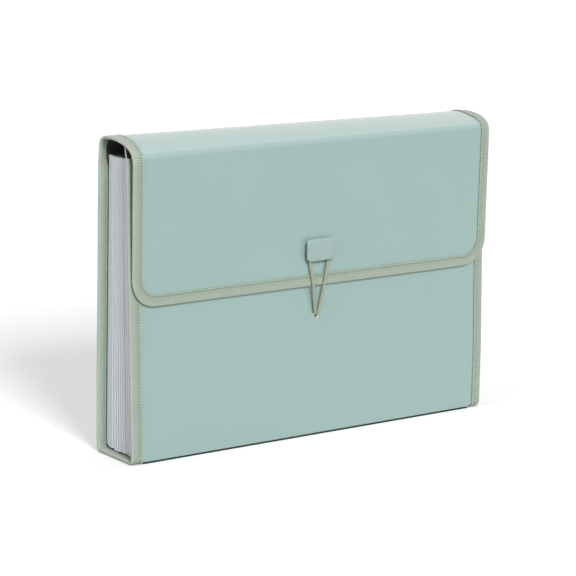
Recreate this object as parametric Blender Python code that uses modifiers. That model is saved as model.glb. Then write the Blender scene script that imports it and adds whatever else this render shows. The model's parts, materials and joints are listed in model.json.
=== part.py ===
# Expanding file folder: a wraparound cover with taped edges, a pleated pocket insert,
# and a button and elastic closure. Metres, +Z up, the front faces -Y.
import math

import bpy
import bmesh
from mathutils import Matrix, Vector

# Overall sizes, taken over the edge tapes
width = 0.330
base_depth = 0.054
base_bend = 0.005            # outer radius of the two bends along the base
crease_height = 0.2361       # the two creases of the lid
back_lean = 0.0105           # how far the back leans forward at its crease
front_lean = 0.0019          # how far the front cover leans back at that height
flap_crease_reach = 0.0067   # how far the flap's crease stands in front of the base
flap_edge_reach = 0.0020     # the same for the flap's lower edge
flap_edge_height = 0.1195
flap_corner = 0.022
front_drop = 0.0048          # the front cover's top below the creases
front_corner = 0.002
lid_rise_left = 0.0106       # the lid bulges more at its left end
lid_rise_right = 0.0068

# Sheet, tape and the gap that parts keep to each other
sheet = 0.0008
tape = 0.0006
clearance = 0.0003
tape_width = 0.0095
base_hem = 0.0012            # extra height inside the base tapes, for the insert's hem
sheet_setback = 0.0012       # a sheet's edge from its crease
tape_setback = 0.0018        # a tape's end from its crease
base_gap = 0.0006            # between the base and the covers

# Pocket insert
pocket_count = 13
wall = 0.0005
wall_base = 0.0066
wall_drop = 0.0041           # the walls' tops below the creases
wall_corner = 0.003
rear_liner_drop = 0.0021
front_wall_rise = 0.0012     # the front wall's top above the creases
gusset = 0.0004
gusset_inset = 0.005         # outer folds from the tapes' outer edge
gusset_depth = 0.0052
gusset_drop = 0.0064
floor_fold = 0.0026          # height of the floor's lower folds
fold_share = 0.25            # flat of a fold, as a share of the pleat

# Index tabs
tab_width = 0.0215
tab_height = 0.012
tab_drop = 0.0003            # the tabs' tops below the creases
tab = 0.0004
tab_corner = 0.002
tab_margin = 0.006           # from the walls' ends to the first and last tab

# Closure
closure_offset = 0.002       # the closure sits this far right of the middle
button_rise = 0.0292         # the button's centre above the flap's lower edge
head_width = 0.026
head_height = 0.0174
head = 0.0025
head_corner = 0.0036
head_edge = 0.0007
neck_width = 0.016
neck_height = 0.009
neck_corner = 0.004
neck_room = 0.0007           # under the head, beyond the cord's thickness
post_radius = 0.0025
plate_width = 0.019
plate_height = 0.012
plate = 0.0010
plate_corner = 0.003
eyelet_drop = 0.0240         # the eyelet below the flap's lower edge
eyelet_play = 0.0002         # round the cord's two strands
eyelet_wall = 0.00035
eyelet_rim = 0.0008          # the flange's reach from the bore
eyelet_front = 0.0005
eyelet_rear = 0.0004
cord = 0.0024
squeeze = 0.55               # the cord's thickness in the eyelet, as a share
strand_gap = 0.0003          # between the two strands in the eyelet
stop_width = 0.010
stop_height = 0.005
stop = 0.0016
window_width = 0.016         # the front wall's window round the stop
window_height = 0.011
overrun = 0.0004             # how far joined solids reach into each other
weld = 0.00001               # points this near each other are one

# Steps of the round shapes
fold_steps = 4
corner_steps = 8
dome_steps = 16
bend_steps = 6
turn_steps = 32
route_steps = 4

# Sizes that follow
front_height = crease_height - front_drop
wall_top = crease_height - wall_drop
rear_liner_top = crease_height - rear_liner_drop
front_wall_top = crease_height + front_wall_rise
gusset_top = crease_height - gusset_drop
tab_top = crease_height - tab_drop
button_height = flap_edge_height + button_rise
eyelet_height = flap_edge_height - eyelet_drop
neck_length = cord + neck_room
eyelet_bore = cord * squeeze + strand_gap / 2 + eyelet_play
eyelet_flange = eyelet_bore + eyelet_rim
skin = clearance + tape + sheet / 2              # tape's outer face from the sheet's middle
sheet_half = width / 2 - skin
fan_count = pocket_count - 1
liner_depth = skin + sheet / 2 + clearance + wall / 2   # liner's middle from the tape's outer face
front_wall_depth = liner_depth + tape + clearance      # the front wall lies behind the tape's leg
gusset_outer = width / 2 - gusset_inset - gusset / 2
gusset_inner = gusset_outer - gusset_depth
wall_half = gusset_inner - gusset / 2 - clearance
x_axis = Vector((1, 0, 0))


def section(forward, height):
    # a point of the middle section, by its distance in front of the base's rear face
    return Vector((0, rear_y - forward, height))


def make_panel(origin, end, outward):
    # a flat panel from a crease to an edge, on the tapes' outer faces
    along = (end - origin).normalized()
    normal = x_axis.cross(along)
    if normal.dot(outward) < 0:
        normal = -normal
    return {"origin": origin, "along": along, "normal": normal, "length": (end - origin).length}


def on_panel(panel, x, v, depth):
    # depth is measured inwards from the tapes' outer faces
    return panel["origin"] + x_axis * x + panel["along"] * v - panel["normal"] * depth


def panel_matrix(panel, depth):
    along = panel["along"]
    place = on_panel(panel, 0, 0, depth)
    return Matrix.Translation(place) @ Matrix((x_axis, along, x_axis.cross(along))).transposed().to_4x4()


# The overall depth runs from the back to the button's upper front edge
flap_slope = (flap_crease_reach - flap_edge_reach) / (crease_height - flap_edge_height)
button_skin = base_depth + flap_crease_reach - (crease_height - button_height) * flap_slope
head_front = neck_length + clearance + head - (skin - sheet / 2)
overall_depth = button_skin + head_front + head_height / 2 * flap_slope
rear_y = overall_depth / 2

back_crease = section(back_lean, crease_height)
front_crease = section(base_depth + flap_crease_reach, crease_height)
front_axis = section(base_depth, base_bend + base_gap / 2)
back_panel = make_panel(section(0, base_bend), back_crease, Vector((0, 1, 0)))
front_panel = make_panel(section(base_depth, base_bend),
                         section(base_depth - front_lean, crease_height), Vector((0, -1, 0)))
flap_panel = make_panel(front_crease, section(base_depth + flap_edge_reach, flap_edge_height),
                        Vector((0, -1, 0)))


def height_to_v(panel, height):
    return (height - panel["origin"].z) / panel["along"].z


def reset_scene():
    for item in list(bpy.data.objects):
        bpy.data.objects.remove(item, do_unlink=True)


def make_collection(name):
    collection = bpy.data.collections.new(name)
    bpy.context.scene.collection.children.link(collection)
    return collection


def make_material(name, color, roughness, metallic=0.0):
    material = bpy.data.materials.new(name)
    material.use_nodes = True
    shader = material.node_tree.nodes["Principled BSDF"]
    shader.inputs["Base Color"].default_value = (*color, 1)
    shader.inputs["Roughness"].default_value = roughness
    shader.inputs["Metallic"].default_value = metallic
    material.diffuse_color = (*color, 1)
    return material


def make_axis(name, place, parent=None):
    # an empty on a joint's axis, carrying what turns with it
    axis = bpy.data.objects.new(name, None)
    axis.empty_display_size = base_depth / 2
    parts.objects.link(axis)
    if parent:
        axis.parent = parent
        axis.location = place - axis_places[parent.name]
    else:
        axis.location = place
    axis_places[name] = place
    return axis


def add_part(part, material, axis):
    if part.name not in parts.objects:
        parts.objects.link(part)
    part.data.materials.append(material)
    if axis:
        part.parent = axis
        part.matrix_parent_inverse = Matrix.Translation(-axis_places[axis.name])
    return part


def corner_arc(cx, cy, radius, start, end):
    # points of an arc, the angles in quarter turns
    points = []
    for i in range(corner_steps + 1):
        angle = (start + (end - start) * i / corner_steps) * math.pi / 2
        points.append((cx + radius * math.cos(angle), cy + radius * math.sin(angle)))
    return points


def rounded_outline(half, low, high, low_corner, high_corner):
    outline = []
    for sign_x, y, radius, quarter in ((1, low, low_corner, 3), (1, high, high_corner, 0),
                                       (-1, high, high_corner, 1), (-1, low, low_corner, 2)):
        if radius > 0:
            cy = y + radius if y == low else y - radius
            outline += corner_arc(sign_x * (half - radius), cy, radius, quarter, quarter + 1)
        else:
            outline.append((sign_x * half, y))
    return outline


def circle_outline(cx, cy, radius):
    return [(cx + radius * math.cos(2 * math.pi * i / turn_steps),
             cy + radius * math.sin(2 * math.pi * i / turn_steps)) for i in range(turn_steps)]


def shift_outline(outline, dx, dy):
    return [(x + dx, y + dy) for x, y in outline]


def flat_plate(name, outlines, thickness, matrix):
    # a flat outline with any holes, extruded to both sides of its plane
    curve = bpy.data.curves.new(name, "CURVE")
    curve.dimensions = "2D"
    curve.fill_mode = "BOTH"
    curve.extrude = thickness / 2
    for outline in outlines:
        spline = curve.splines.new("POLY")
        spline.points.add(len(outline) - 1)
        for point, (x, y) in zip(spline.points, outline):
            point.co = (x, y, 0, 1)
        spline.use_cyclic_u = True
    made = bpy.data.objects.new(name, curve)
    made.matrix_world = matrix
    return made


def to_mesh(made):
    # the same solid as a welded mesh, ready for bevels and joins
    parts.objects.link(made)
    bpy.context.view_layer.update()
    graph = bpy.context.evaluated_depsgraph_get()
    mesh = bpy.data.meshes.new_from_object(made.evaluated_get(graph))
    bm = bmesh.new()
    bm.from_mesh(mesh)
    bmesh.ops.remove_doubles(bm, verts=bm.verts, dist=weld)
    bmesh.ops.recalc_face_normals(bm, faces=bm.faces)
    bm.to_mesh(mesh)
    bm.free()
    name = made.name
    matrix = made.matrix_world.copy()
    bpy.data.objects.remove(made, do_unlink=True)
    solid = bpy.data.objects.new(name, mesh)
    solid.matrix_world = matrix
    return solid


def lofted_sheet(name, rings, thickness):
    # an open surface through rows of points, thickened to both sides
    mesh = bpy.data.meshes.new(name)
    bm = bmesh.new()
    rows = [[bm.verts.new(point) for point in ring] for ring in rings]
    for row, following in zip(rows, rows[1:]):
        for i in range(len(row) - 1):
            bm.faces.new((row[i], row[i + 1], following[i + 1], following[i]))
    bmesh.ops.recalc_face_normals(bm, faces=bm.faces)
    bm.to_mesh(mesh)
    bm.free()
    made = bpy.data.objects.new(name, mesh)
    solidify = made.modifiers.new("thickness", "SOLIDIFY")
    solidify.thickness = thickness
    solidify.offset = 0
    solidify.use_even_offset = True
    return made


def edge_tape(name, stations, hem=0.0):
    # a tape folded round a sheet's edge: each station is a point of the edge, the way into
    # the sheet, and the sheet's outward normal
    reach = tape_width - skin
    half = sheet / 2 + clearance + tape / 2
    rings = []
    for edge, inward, normal in stations:
        ring = [edge + inward * reach + normal * half]
        for i in range(fold_steps + 1):
            angle = math.pi * i / fold_steps
            level = (half + hem / 2) * math.cos(angle) - hem / 2
            ring.append(edge - inward * half * math.sin(angle) + normal * level)
        ring.append(edge + inward * reach - normal * (half + hem))
        rings.append(ring)
    return lofted_sheet(name, rings, tape)


def panel_stations(panel, path):
    # path holds points of a panel's edge and the way in from each
    stations = []
    for (x, v), (in_x, in_v) in path:
        inward = x_axis * in_x + panel["along"] * in_v
        stations.append((on_panel(panel, x, v, skin), inward, panel["normal"]))
    return stations


def u_path(start_v, end_v, corner):
    # down one side of a panel, round two corners and back up the other side
    path = [((-sheet_half, start_v), (1, 0))]
    for sign_x in (-1, 1):
        arc = []
        cx = sign_x * (sheet_half - corner)
        for i in range(corner_steps + 1):
            angle = math.pi / 2 * i / corner_steps
            out_x, out_v = sign_x * math.cos(angle), math.sin(angle)
            arc.append(((cx + corner * out_x, end_v - corner + corner * out_v), (-out_x, -out_v)))
        path += arc if sign_x < 0 else arc[::-1]
    path.append(((sheet_half, start_v), (-1, 0)))
    return path


def dome_points(rise, depth, setback):
    # the lid's arc from the back crease to the front one, and the normals on it
    span = (front_crease - back_crease).length
    radius = (span * span / 4 + rise * rise) / (2 * rise)
    centre = (front_crease + back_crease) / 2 + Vector((0, 0, rise - radius))
    half_angle = math.asin(span / 2 / radius) - setback / radius
    points = []
    for i in range(dome_steps + 1):
        angle = half_angle * (2 * i / dome_steps - 1)
        normal = Vector((0, -math.sin(angle), math.cos(angle)))
        points.append((centre + normal * (radius - depth), normal))
    return points


def base_points():
    # the base sheet's section from the back's bend to the front's, and the normals on it
    points = []
    for forward, start in ((base_bend, 2), (base_depth - base_bend, 3)):
        centre = section(forward, base_bend)
        for i in range(bend_steps + 1):
            angle = (start + i / bend_steps) * math.pi / 2
            normal = Vector((0, -math.cos(angle), math.sin(angle)))
            points.append((centre + normal * (base_bend - skin), normal))
    return points


def wall_point(index, height):
    # a point in the middle of an insert wall, counted from the back
    back_share = (height - base_bend) / (crease_height - base_bend)
    rear = back_lean * back_share + liner_depth
    front = base_depth - front_lean * back_share - front_wall_depth
    return section(rear + (front - rear) * index / pocket_count, height)


def wall_panel(index):
    return make_panel(wall_point(index, wall_base), wall_point(index, wall_top), Vector((0, -1, 0)))


def pleat_marks(index, height, rear_inset, front_inset):
    # y of the fold edges of one pleat, from the wall behind it to the wall in front
    rear = wall_point(index, height).y
    front = wall_point(index + 1, height).y
    flat = (rear - front) * fold_share
    first = rear - (rear_inset if index == 0 else flat / 2)
    last = front + (front_inset if index == pocket_count - 1 else flat / 2)
    middle = (rear + front) / 2
    return first, middle + flat / 2, middle - flat / 2, last


def gusset_ring(side, height):
    rear_inset = tape + clearance + gusset / 2 - wall / 2
    front_inset = wall / 2 + clearance + gusset / 2
    ring = []
    for index in range(pocket_count):
        marks = pleat_marks(index, height, rear_inset, front_inset)
        for y, x in zip(marks, (gusset_inner, gusset_outer, gusset_outer, gusset_inner)):
            ring.append(Vector((side * x, y, height)))
    return ring


def floor_ring(x):
    upper = wall_base - clearance - gusset / 2
    ring = []
    for index in range(pocket_count):
        marks = pleat_marks(index, wall_base, wall / 2, wall / 2)
        for y, z in zip(marks, (upper, floor_fold, floor_fold, upper)):
            ring.append(Vector((x, y, z)))
    return ring


def build_covers():
    v_low = base_gap
    back_end = back_panel["length"]
    outline = rounded_outline(sheet_half, v_low, back_end - sheet_setback, 0, 0)
    back = flat_plate("back_cover", [outline], sheet, panel_matrix(back_panel, skin))
    add_part(back, mint_sheet, None)

    rows = [[point + x_axis * x for point, normal in base_points()] for x in (-sheet_half, sheet_half)]
    add_part(lofted_sheet("base_panel", rows, sheet), mint_sheet, None)

    front_end = height_to_v(front_panel, front_height)
    hole = circle_outline(closure_offset, height_to_v(front_panel, eyelet_height),
                          eyelet_bore + eyelet_wall + clearance)
    outline = rounded_outline(sheet_half, v_low, front_end, 0, front_corner)
    front = flat_plate("front_cover", [outline, hole], sheet, panel_matrix(front_panel, skin))
    add_part(front, mint_sheet, front_hinge)

    rows = []
    for x, rise in ((-sheet_half, lid_rise_left), (sheet_half, lid_rise_right)):
        rows.append([point + x_axis * x for point, normal in dome_points(rise, skin, sheet_setback)])
    add_part(lofted_sheet("top_panel", rows, sheet), mint_sheet, lid_hinge)

    flap_end = flap_panel["length"] - skin
    hole = circle_outline(closure_offset, height_to_v(flap_panel, button_height),
                          post_radius + clearance)
    outline = rounded_outline(sheet_half, sheet_setback, flap_end, 0, flap_corner - skin)
    flap = flat_plate("flap", [outline, hole], sheet, panel_matrix(flap_panel, skin))
    add_part(flap, mint_sheet, flap_hinge)


def build_tapes():
    for side, label in ((-1, "left"), (1, "right")):
        inward = x_axis * -side
        path = [((side * sheet_half, v), (-side, 0))
                for v in (base_gap, back_panel["length"] - tape_setback)]
        back = edge_tape("back_binding_" + label, panel_stations(back_panel, path))
        add_part(back, sage_tape, None)

        path = [((side * sheet_half, v), (-side, 0))
                for v in (base_gap, height_to_v(front_panel, front_height))]
        front = edge_tape("front_binding_" + label, panel_stations(front_panel, path))
        add_part(front, sage_tape, front_hinge)

        stations = [(point + x_axis * side * sheet_half, inward, normal)
                    for point, normal in base_points()]
        add_part(edge_tape("base_binding_" + label, stations, base_hem), sage_tape, None)

        rise = lid_rise_left if side < 0 else lid_rise_right
        stations = [(point + x_axis * side * sheet_half, inward, normal)
                    for point, normal in dome_points(rise, skin, tape_setback)]
        add_part(edge_tape("top_binding_" + label, stations), sage_tape, lid_hinge)

    path = u_path(tape_setback, flap_panel["length"] - skin, flap_corner - skin)
    flap = edge_tape("flap_binding", panel_stations(flap_panel, path))
    add_part(flap, sage_tape, flap_hinge)


def build_insert():
    liner_half = sheet_half - (tape_width - skin) - clearance
    rear = make_panel(wall_point(0, wall_base), wall_point(0, rear_liner_top), Vector((0, -1, 0)))
    outline = rounded_outline(liner_half, 0, rear["length"], 0, wall_corner)
    add_part(flat_plate("rear_liner", [outline], wall, panel_matrix(rear, 0)), black_sheet, None)

    # the front wall stands above the front cover and leaves a window for the cord's stop
    front = wall_panel(pocket_count)
    window_v = height_to_v(front, eyelet_height)
    window = rounded_outline(window_width / 2, window_v - window_height / 2,
                             window_v + window_height / 2, wall_corner, wall_corner)
    outline = rounded_outline(sheet_half, 0, height_to_v(front, front_wall_top), 0, wall_corner)
    holes = [outline, shift_outline(window, closure_offset, 0)]
    add_part(flat_plate("front_wall", holes, wall, panel_matrix(front, 0)), frosted_sheet, front_hinge)

    step = (2 * (wall_half - tab_margin) - tab_width) / (fan_count - 1)
    for index in range(1, pocket_count):
        label = f"{index:02d}"
        fan = make_axis("fan_axis_" + label, front_axis)
        panel = wall_panel(index)
        outline = rounded_outline(wall_half, 0, panel["length"], 0, wall_corner)
        divider = flat_plate("divider_" + label, [outline], wall, panel_matrix(panel, 0))
        add_part(divider, black_sheet, fan)

        # the tabs run from the right at the back to the left at the front
        tab_x = wall_half - tab_margin - tab_width / 2 - step * (index - 1)
        high = height_to_v(panel, tab_top)
        outline = rounded_outline(tab_width / 2, high - tab_height, high, 0, tab_corner)
        depth = -(wall / 2 + clearance + tab / 2)
        index_tab = flat_plate("index_tab_" + label, [shift_outline(outline, tab_x, 0)], tab,
                               panel_matrix(panel, depth))
        add_part(index_tab, white_tab, fan)

    for side, label in ((-1, "left"), (1, "right")):
        rings = [gusset_ring(side, wall_base), gusset_ring(side, gusset_top)]
        add_part(lofted_sheet("gusset_" + label, rings, gusset), frosted_sheet, None)
    rings = [floor_ring(-wall_half), floor_ring(wall_half)]
    add_part(lofted_sheet("insert_floor", rings, gusset), frosted_sheet, None)


def join_solid(base, other):
    # the second solid becomes part of the first
    cutters.objects.link(other)
    other.hide_render = True
    other.display_type = "WIRE"
    join = base.modifiers.new("join_" + other.name, "BOOLEAN")
    join.operation = "UNION"
    join.solver = "EXACT"
    join.object = other


def build_button():
    v = height_to_v(flap_panel, button_height)
    face = skin - sheet / 2                      # the sheet's outer face, below the tapes
    neck_top = face - clearance - neck_length

    outline = shift_outline(rounded_outline(head_width / 2, -head_height / 2, head_height / 2,
                                            head_corner, head_corner), closure_offset, v)
    button = to_mesh(flat_plate("closure_button", [outline], head,
                                panel_matrix(flap_panel, neck_top - head / 2)))
    soften = button.modifiers.new("soft_edge", "BEVEL")
    soften.width = head_edge
    soften.segments = 2
    soften.limit_method = "ANGLE"
    soften.angle_limit = math.radians(60)

    outline = shift_outline(rounded_outline(neck_width / 2, -neck_height / 2, neck_height / 2,
                                            neck_corner, neck_corner), closure_offset, v)
    length = neck_length + overrun
    neck = to_mesh(flat_plate("button_neck", [outline], length,
                              panel_matrix(flap_panel, neck_top - overrun + length / 2)))
    join_solid(button, neck)

    post_end = skin + sheet / 2 + clearance + plate
    length = post_end - (face - clearance) + overrun
    outline = circle_outline(closure_offset, v, post_radius)
    post = to_mesh(flat_plate("button_post", [outline], length,
                              panel_matrix(flap_panel, post_end - length / 2)))
    join_solid(button, post)
    add_part(button, button_plastic, flap_hinge)

    outline = shift_outline(rounded_outline(plate_width / 2, -plate_height / 2, plate_height / 2,
                                            plate_corner, plate_corner), closure_offset, v)
    hole = circle_outline(closure_offset, v, post_radius + clearance)
    depth = skin + sheet / 2 + clearance + plate / 2
    washer = flat_plate("button_backplate", [outline, hole], plate, panel_matrix(flap_panel, depth))
    add_part(washer, button_plastic, flap_hinge)


def build_eyelet():
    v = height_to_v(front_panel, eyelet_height)
    barrel = eyelet_bore + eyelet_wall
    seat = sheet / 2 + clearance
    front = seat + eyelet_front
    rear = -seat - eyelet_rear
    profile = [(eyelet_flange, front), (eyelet_flange, seat), (barrel, seat), (barrel, -seat),
               (eyelet_flange, -seat), (eyelet_flange, rear), (eyelet_bore, rear), (eyelet_bore, front)]
    mesh = bpy.data.meshes.new("eyelet")
    bm = bmesh.new()
    ring = [bm.verts.new((radius, 0, level)) for radius, level in profile]
    for i, vert in enumerate(ring):
        bm.edges.new((vert, ring[(i + 1) % len(ring)]))
    bm.to_mesh(mesh)
    bm.free()
    eyelet = bpy.data.objects.new("eyelet", mesh)
    normal = front_panel["normal"]
    place = on_panel(front_panel, closure_offset, v, skin)
    eyelet.matrix_world = (Matrix.Translation(place)
                           @ normal.to_track_quat("Z", "Y").to_matrix().to_4x4())
    screw = eyelet.modifiers.new("turned", "SCREW")
    screw.axis = "Z"
    screw.angle = 2 * math.pi
    screw.steps = turn_steps
    screw.render_steps = turn_steps
    screw.use_merge_vertices = True
    screw.merge_threshold = weld
    screw.use_smooth_shade = False
    add_part(eyelet, steel, front_hinge)

    # the flat stop that the cord's two ends are clamped in
    depth = skin + seat + eyelet_rear + clearance + clearance + stop / 2
    outline = rounded_outline(stop_width / 2, v - stop_height / 2, v + stop_height / 2,
                              stop_height / 5, stop_height / 5)
    outline = shift_outline(outline, closure_offset, 0)
    add_part(flat_plate("cord_stop", [outline], stop, panel_matrix(front_panel, depth)),
             button_plastic, front_hinge)


def smooth_route(points):
    # Catmull-Rom points through a route
    padded = [points[0] * 2 - points[1]] + points + [points[-1] * 2 - points[-2]]
    route = []
    for i in range(1, len(padded) - 2):
        a, b, c, d = padded[i - 1:i + 3]
        for j in range(route_steps):
            t = j / route_steps
            route.append((b * 2 + (c - a) * t + (a * 2 - b * 5 + c * 4 - d) * t ** 2
                          + (b * 3 - a - c * 3 + d) * t ** 3) / 2)
    route.append(points[-1])
    return route


def strand_points(side):
    # one strand, from its end behind the front cover to the side of the button's neck
    v = height_to_v(front_panel, eyelet_height)
    strand = (cord * squeeze + strand_gap) / 2
    seat = sheet / 2 + clearance
    rest = cord / 2 + clearance
    flange_top = seat + eyelet_front + rest
    spread = neck_width / 2 + rest
    run = button_height - eyelet_height - neck_corner
    neck_v = height_to_v(flap_panel, button_height)
    edge_v = flap_panel["length"]
    points = []
    for level in (-seat - eyelet_rear, 0, seat):
        points.append(on_panel(front_panel, closure_offset + side * strand, v, skin - level))
    # the strand turns up over the flange
    for up_share, out_share in ((1 / 16, 1 / 3), (1 / 4, 2 / 3), (3 / 5, 14 / 15), (1, 1)):
        up = eyelet_flange * up_share
        x = strand + (spread - strand) * up / run
        level = seat + (flange_top - seat) * out_share
        points.append(on_panel(front_panel, closure_offset + side * x, v + up, skin - level))
    # it leans on the flap's lower edge and runs on to the neck
    clear = on_panel(front_panel, 0, v + eyelet_flange, skin - flange_top)
    edge = on_panel(flap_panel, 0, edge_v, -rest)
    under_head = -rest + 2 * clearance
    neck = on_panel(flap_panel, 0, neck_v + neck_corner, under_head)
    for start, end, shares in ((clear, edge, (1 / 4, 2 / 4, 3 / 4)),
                               (edge, neck, (0, 1 / 4, 2 / 4, 3 / 4))):
        for share in shares:
            place = start.lerp(end, share)
            x = strand + (spread - strand) * min(1, (place.z - eyelet_height) / run)
            points.append(Vector((closure_offset + side * x, place.y, place.z)))
    for neck_place in (neck_v + neck_corner / 2, neck_v - neck_height / 2 + neck_corner):
        points.append(on_panel(flap_panel, closure_offset + side * spread, neck_place, under_head))
    return points


def cord_share(place):
    # the cord's thickness as a share: the strands squeeze each other towards the eyelet
    if place.z > flap_edge_height:
        return 1
    share = (2 * abs(place.x - closure_offset) - strand_gap) / cord
    return max(squeeze, min(1, share))


def build_elastic():
    rest = cord / 2 + clearance
    radius = neck_corner + rest
    neck_v = height_to_v(flap_panel, button_height)
    centre_v = neck_v - neck_height / 2 + neck_corner
    left = strand_points(-1)
    over = []
    for side, shares in ((-1, (1 / 3, 2 / 3, 1)), (1, (1, 2 / 3, 1 / 3))):
        for share in shares:
            angle = share * math.pi / 2
            x = side * (neck_width / 2 - neck_corner + radius * math.cos(angle))
            over.append(on_panel(flap_panel, closure_offset + x, centre_v - radius * math.sin(angle),
                                 -rest + 2 * clearance))
    route = smooth_route(left + over + strand_points(1)[::-1])
    curve = bpy.data.curves.new("elastic_loop", "CURVE")
    curve.dimensions = "3D"
    curve.bevel_depth = cord / 2
    curve.bevel_resolution = 2
    curve.use_fill_caps = True
    spline = curve.splines.new("POLY")
    spline.points.add(len(route) - 1)
    for point, place in zip(spline.points, route):
        point.co = (*place, 1)
        point.radius = cord_share(place)
    add_part(bpy.data.objects.new("elastic_loop", curve), elastic, elastic_hinge)


reset_scene()
parts = make_collection("expanding_file_folder")
cutters = make_collection("cutters")
axis_places = {}

mint_sheet = make_material("mint_polypropylene", (0.386, 0.527, 0.497), 0.45)
sage_tape = make_material("sage_woven_tape", (0.41, 0.49, 0.39), 0.85)
black_sheet = make_material("black_polypropylene", (0.012, 0.012, 0.011), 0.5)
frosted_sheet = make_material("frosted_polypropylene", (0.50, 0.53, 0.55), 0.4)
white_tab = make_material("white_card", (0.80, 0.80, 0.78), 0.7)
button_plastic = make_material("mint_button_plastic", (0.41, 0.55, 0.51), 0.4)
elastic = make_material("sage_elastic", (0.45, 0.48, 0.37), 0.8)
steel = make_material("nickel_plated_steel", (0.66, 0.66, 0.64), 0.25, 1.0)

elastic_place = on_panel(front_panel, 0, height_to_v(front_panel, eyelet_height),
                         skin - sheet / 2 - clearance - eyelet_front - cord / 2)
front_hinge = make_axis("front_axis", front_axis)
lid_hinge = make_axis("lid_axis", back_crease)
flap_hinge = make_axis("flap_axis", front_crease, lid_hinge)
elastic_hinge = make_axis("elastic_axis", elastic_place, front_hinge)

build_covers()
build_tapes()
build_insert()
build_button()
build_eyelet()
build_elastic()

for label, place in axis_places.items():
    print(label, "y", round(place.y, 6), "z", round(place.z, 6))
print("overall depth", round(overall_depth, 6))
print("base flat, y", round(rear_y - base_bend, 6), "to", round(rear_y - base_depth + base_bend, 6))
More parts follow.
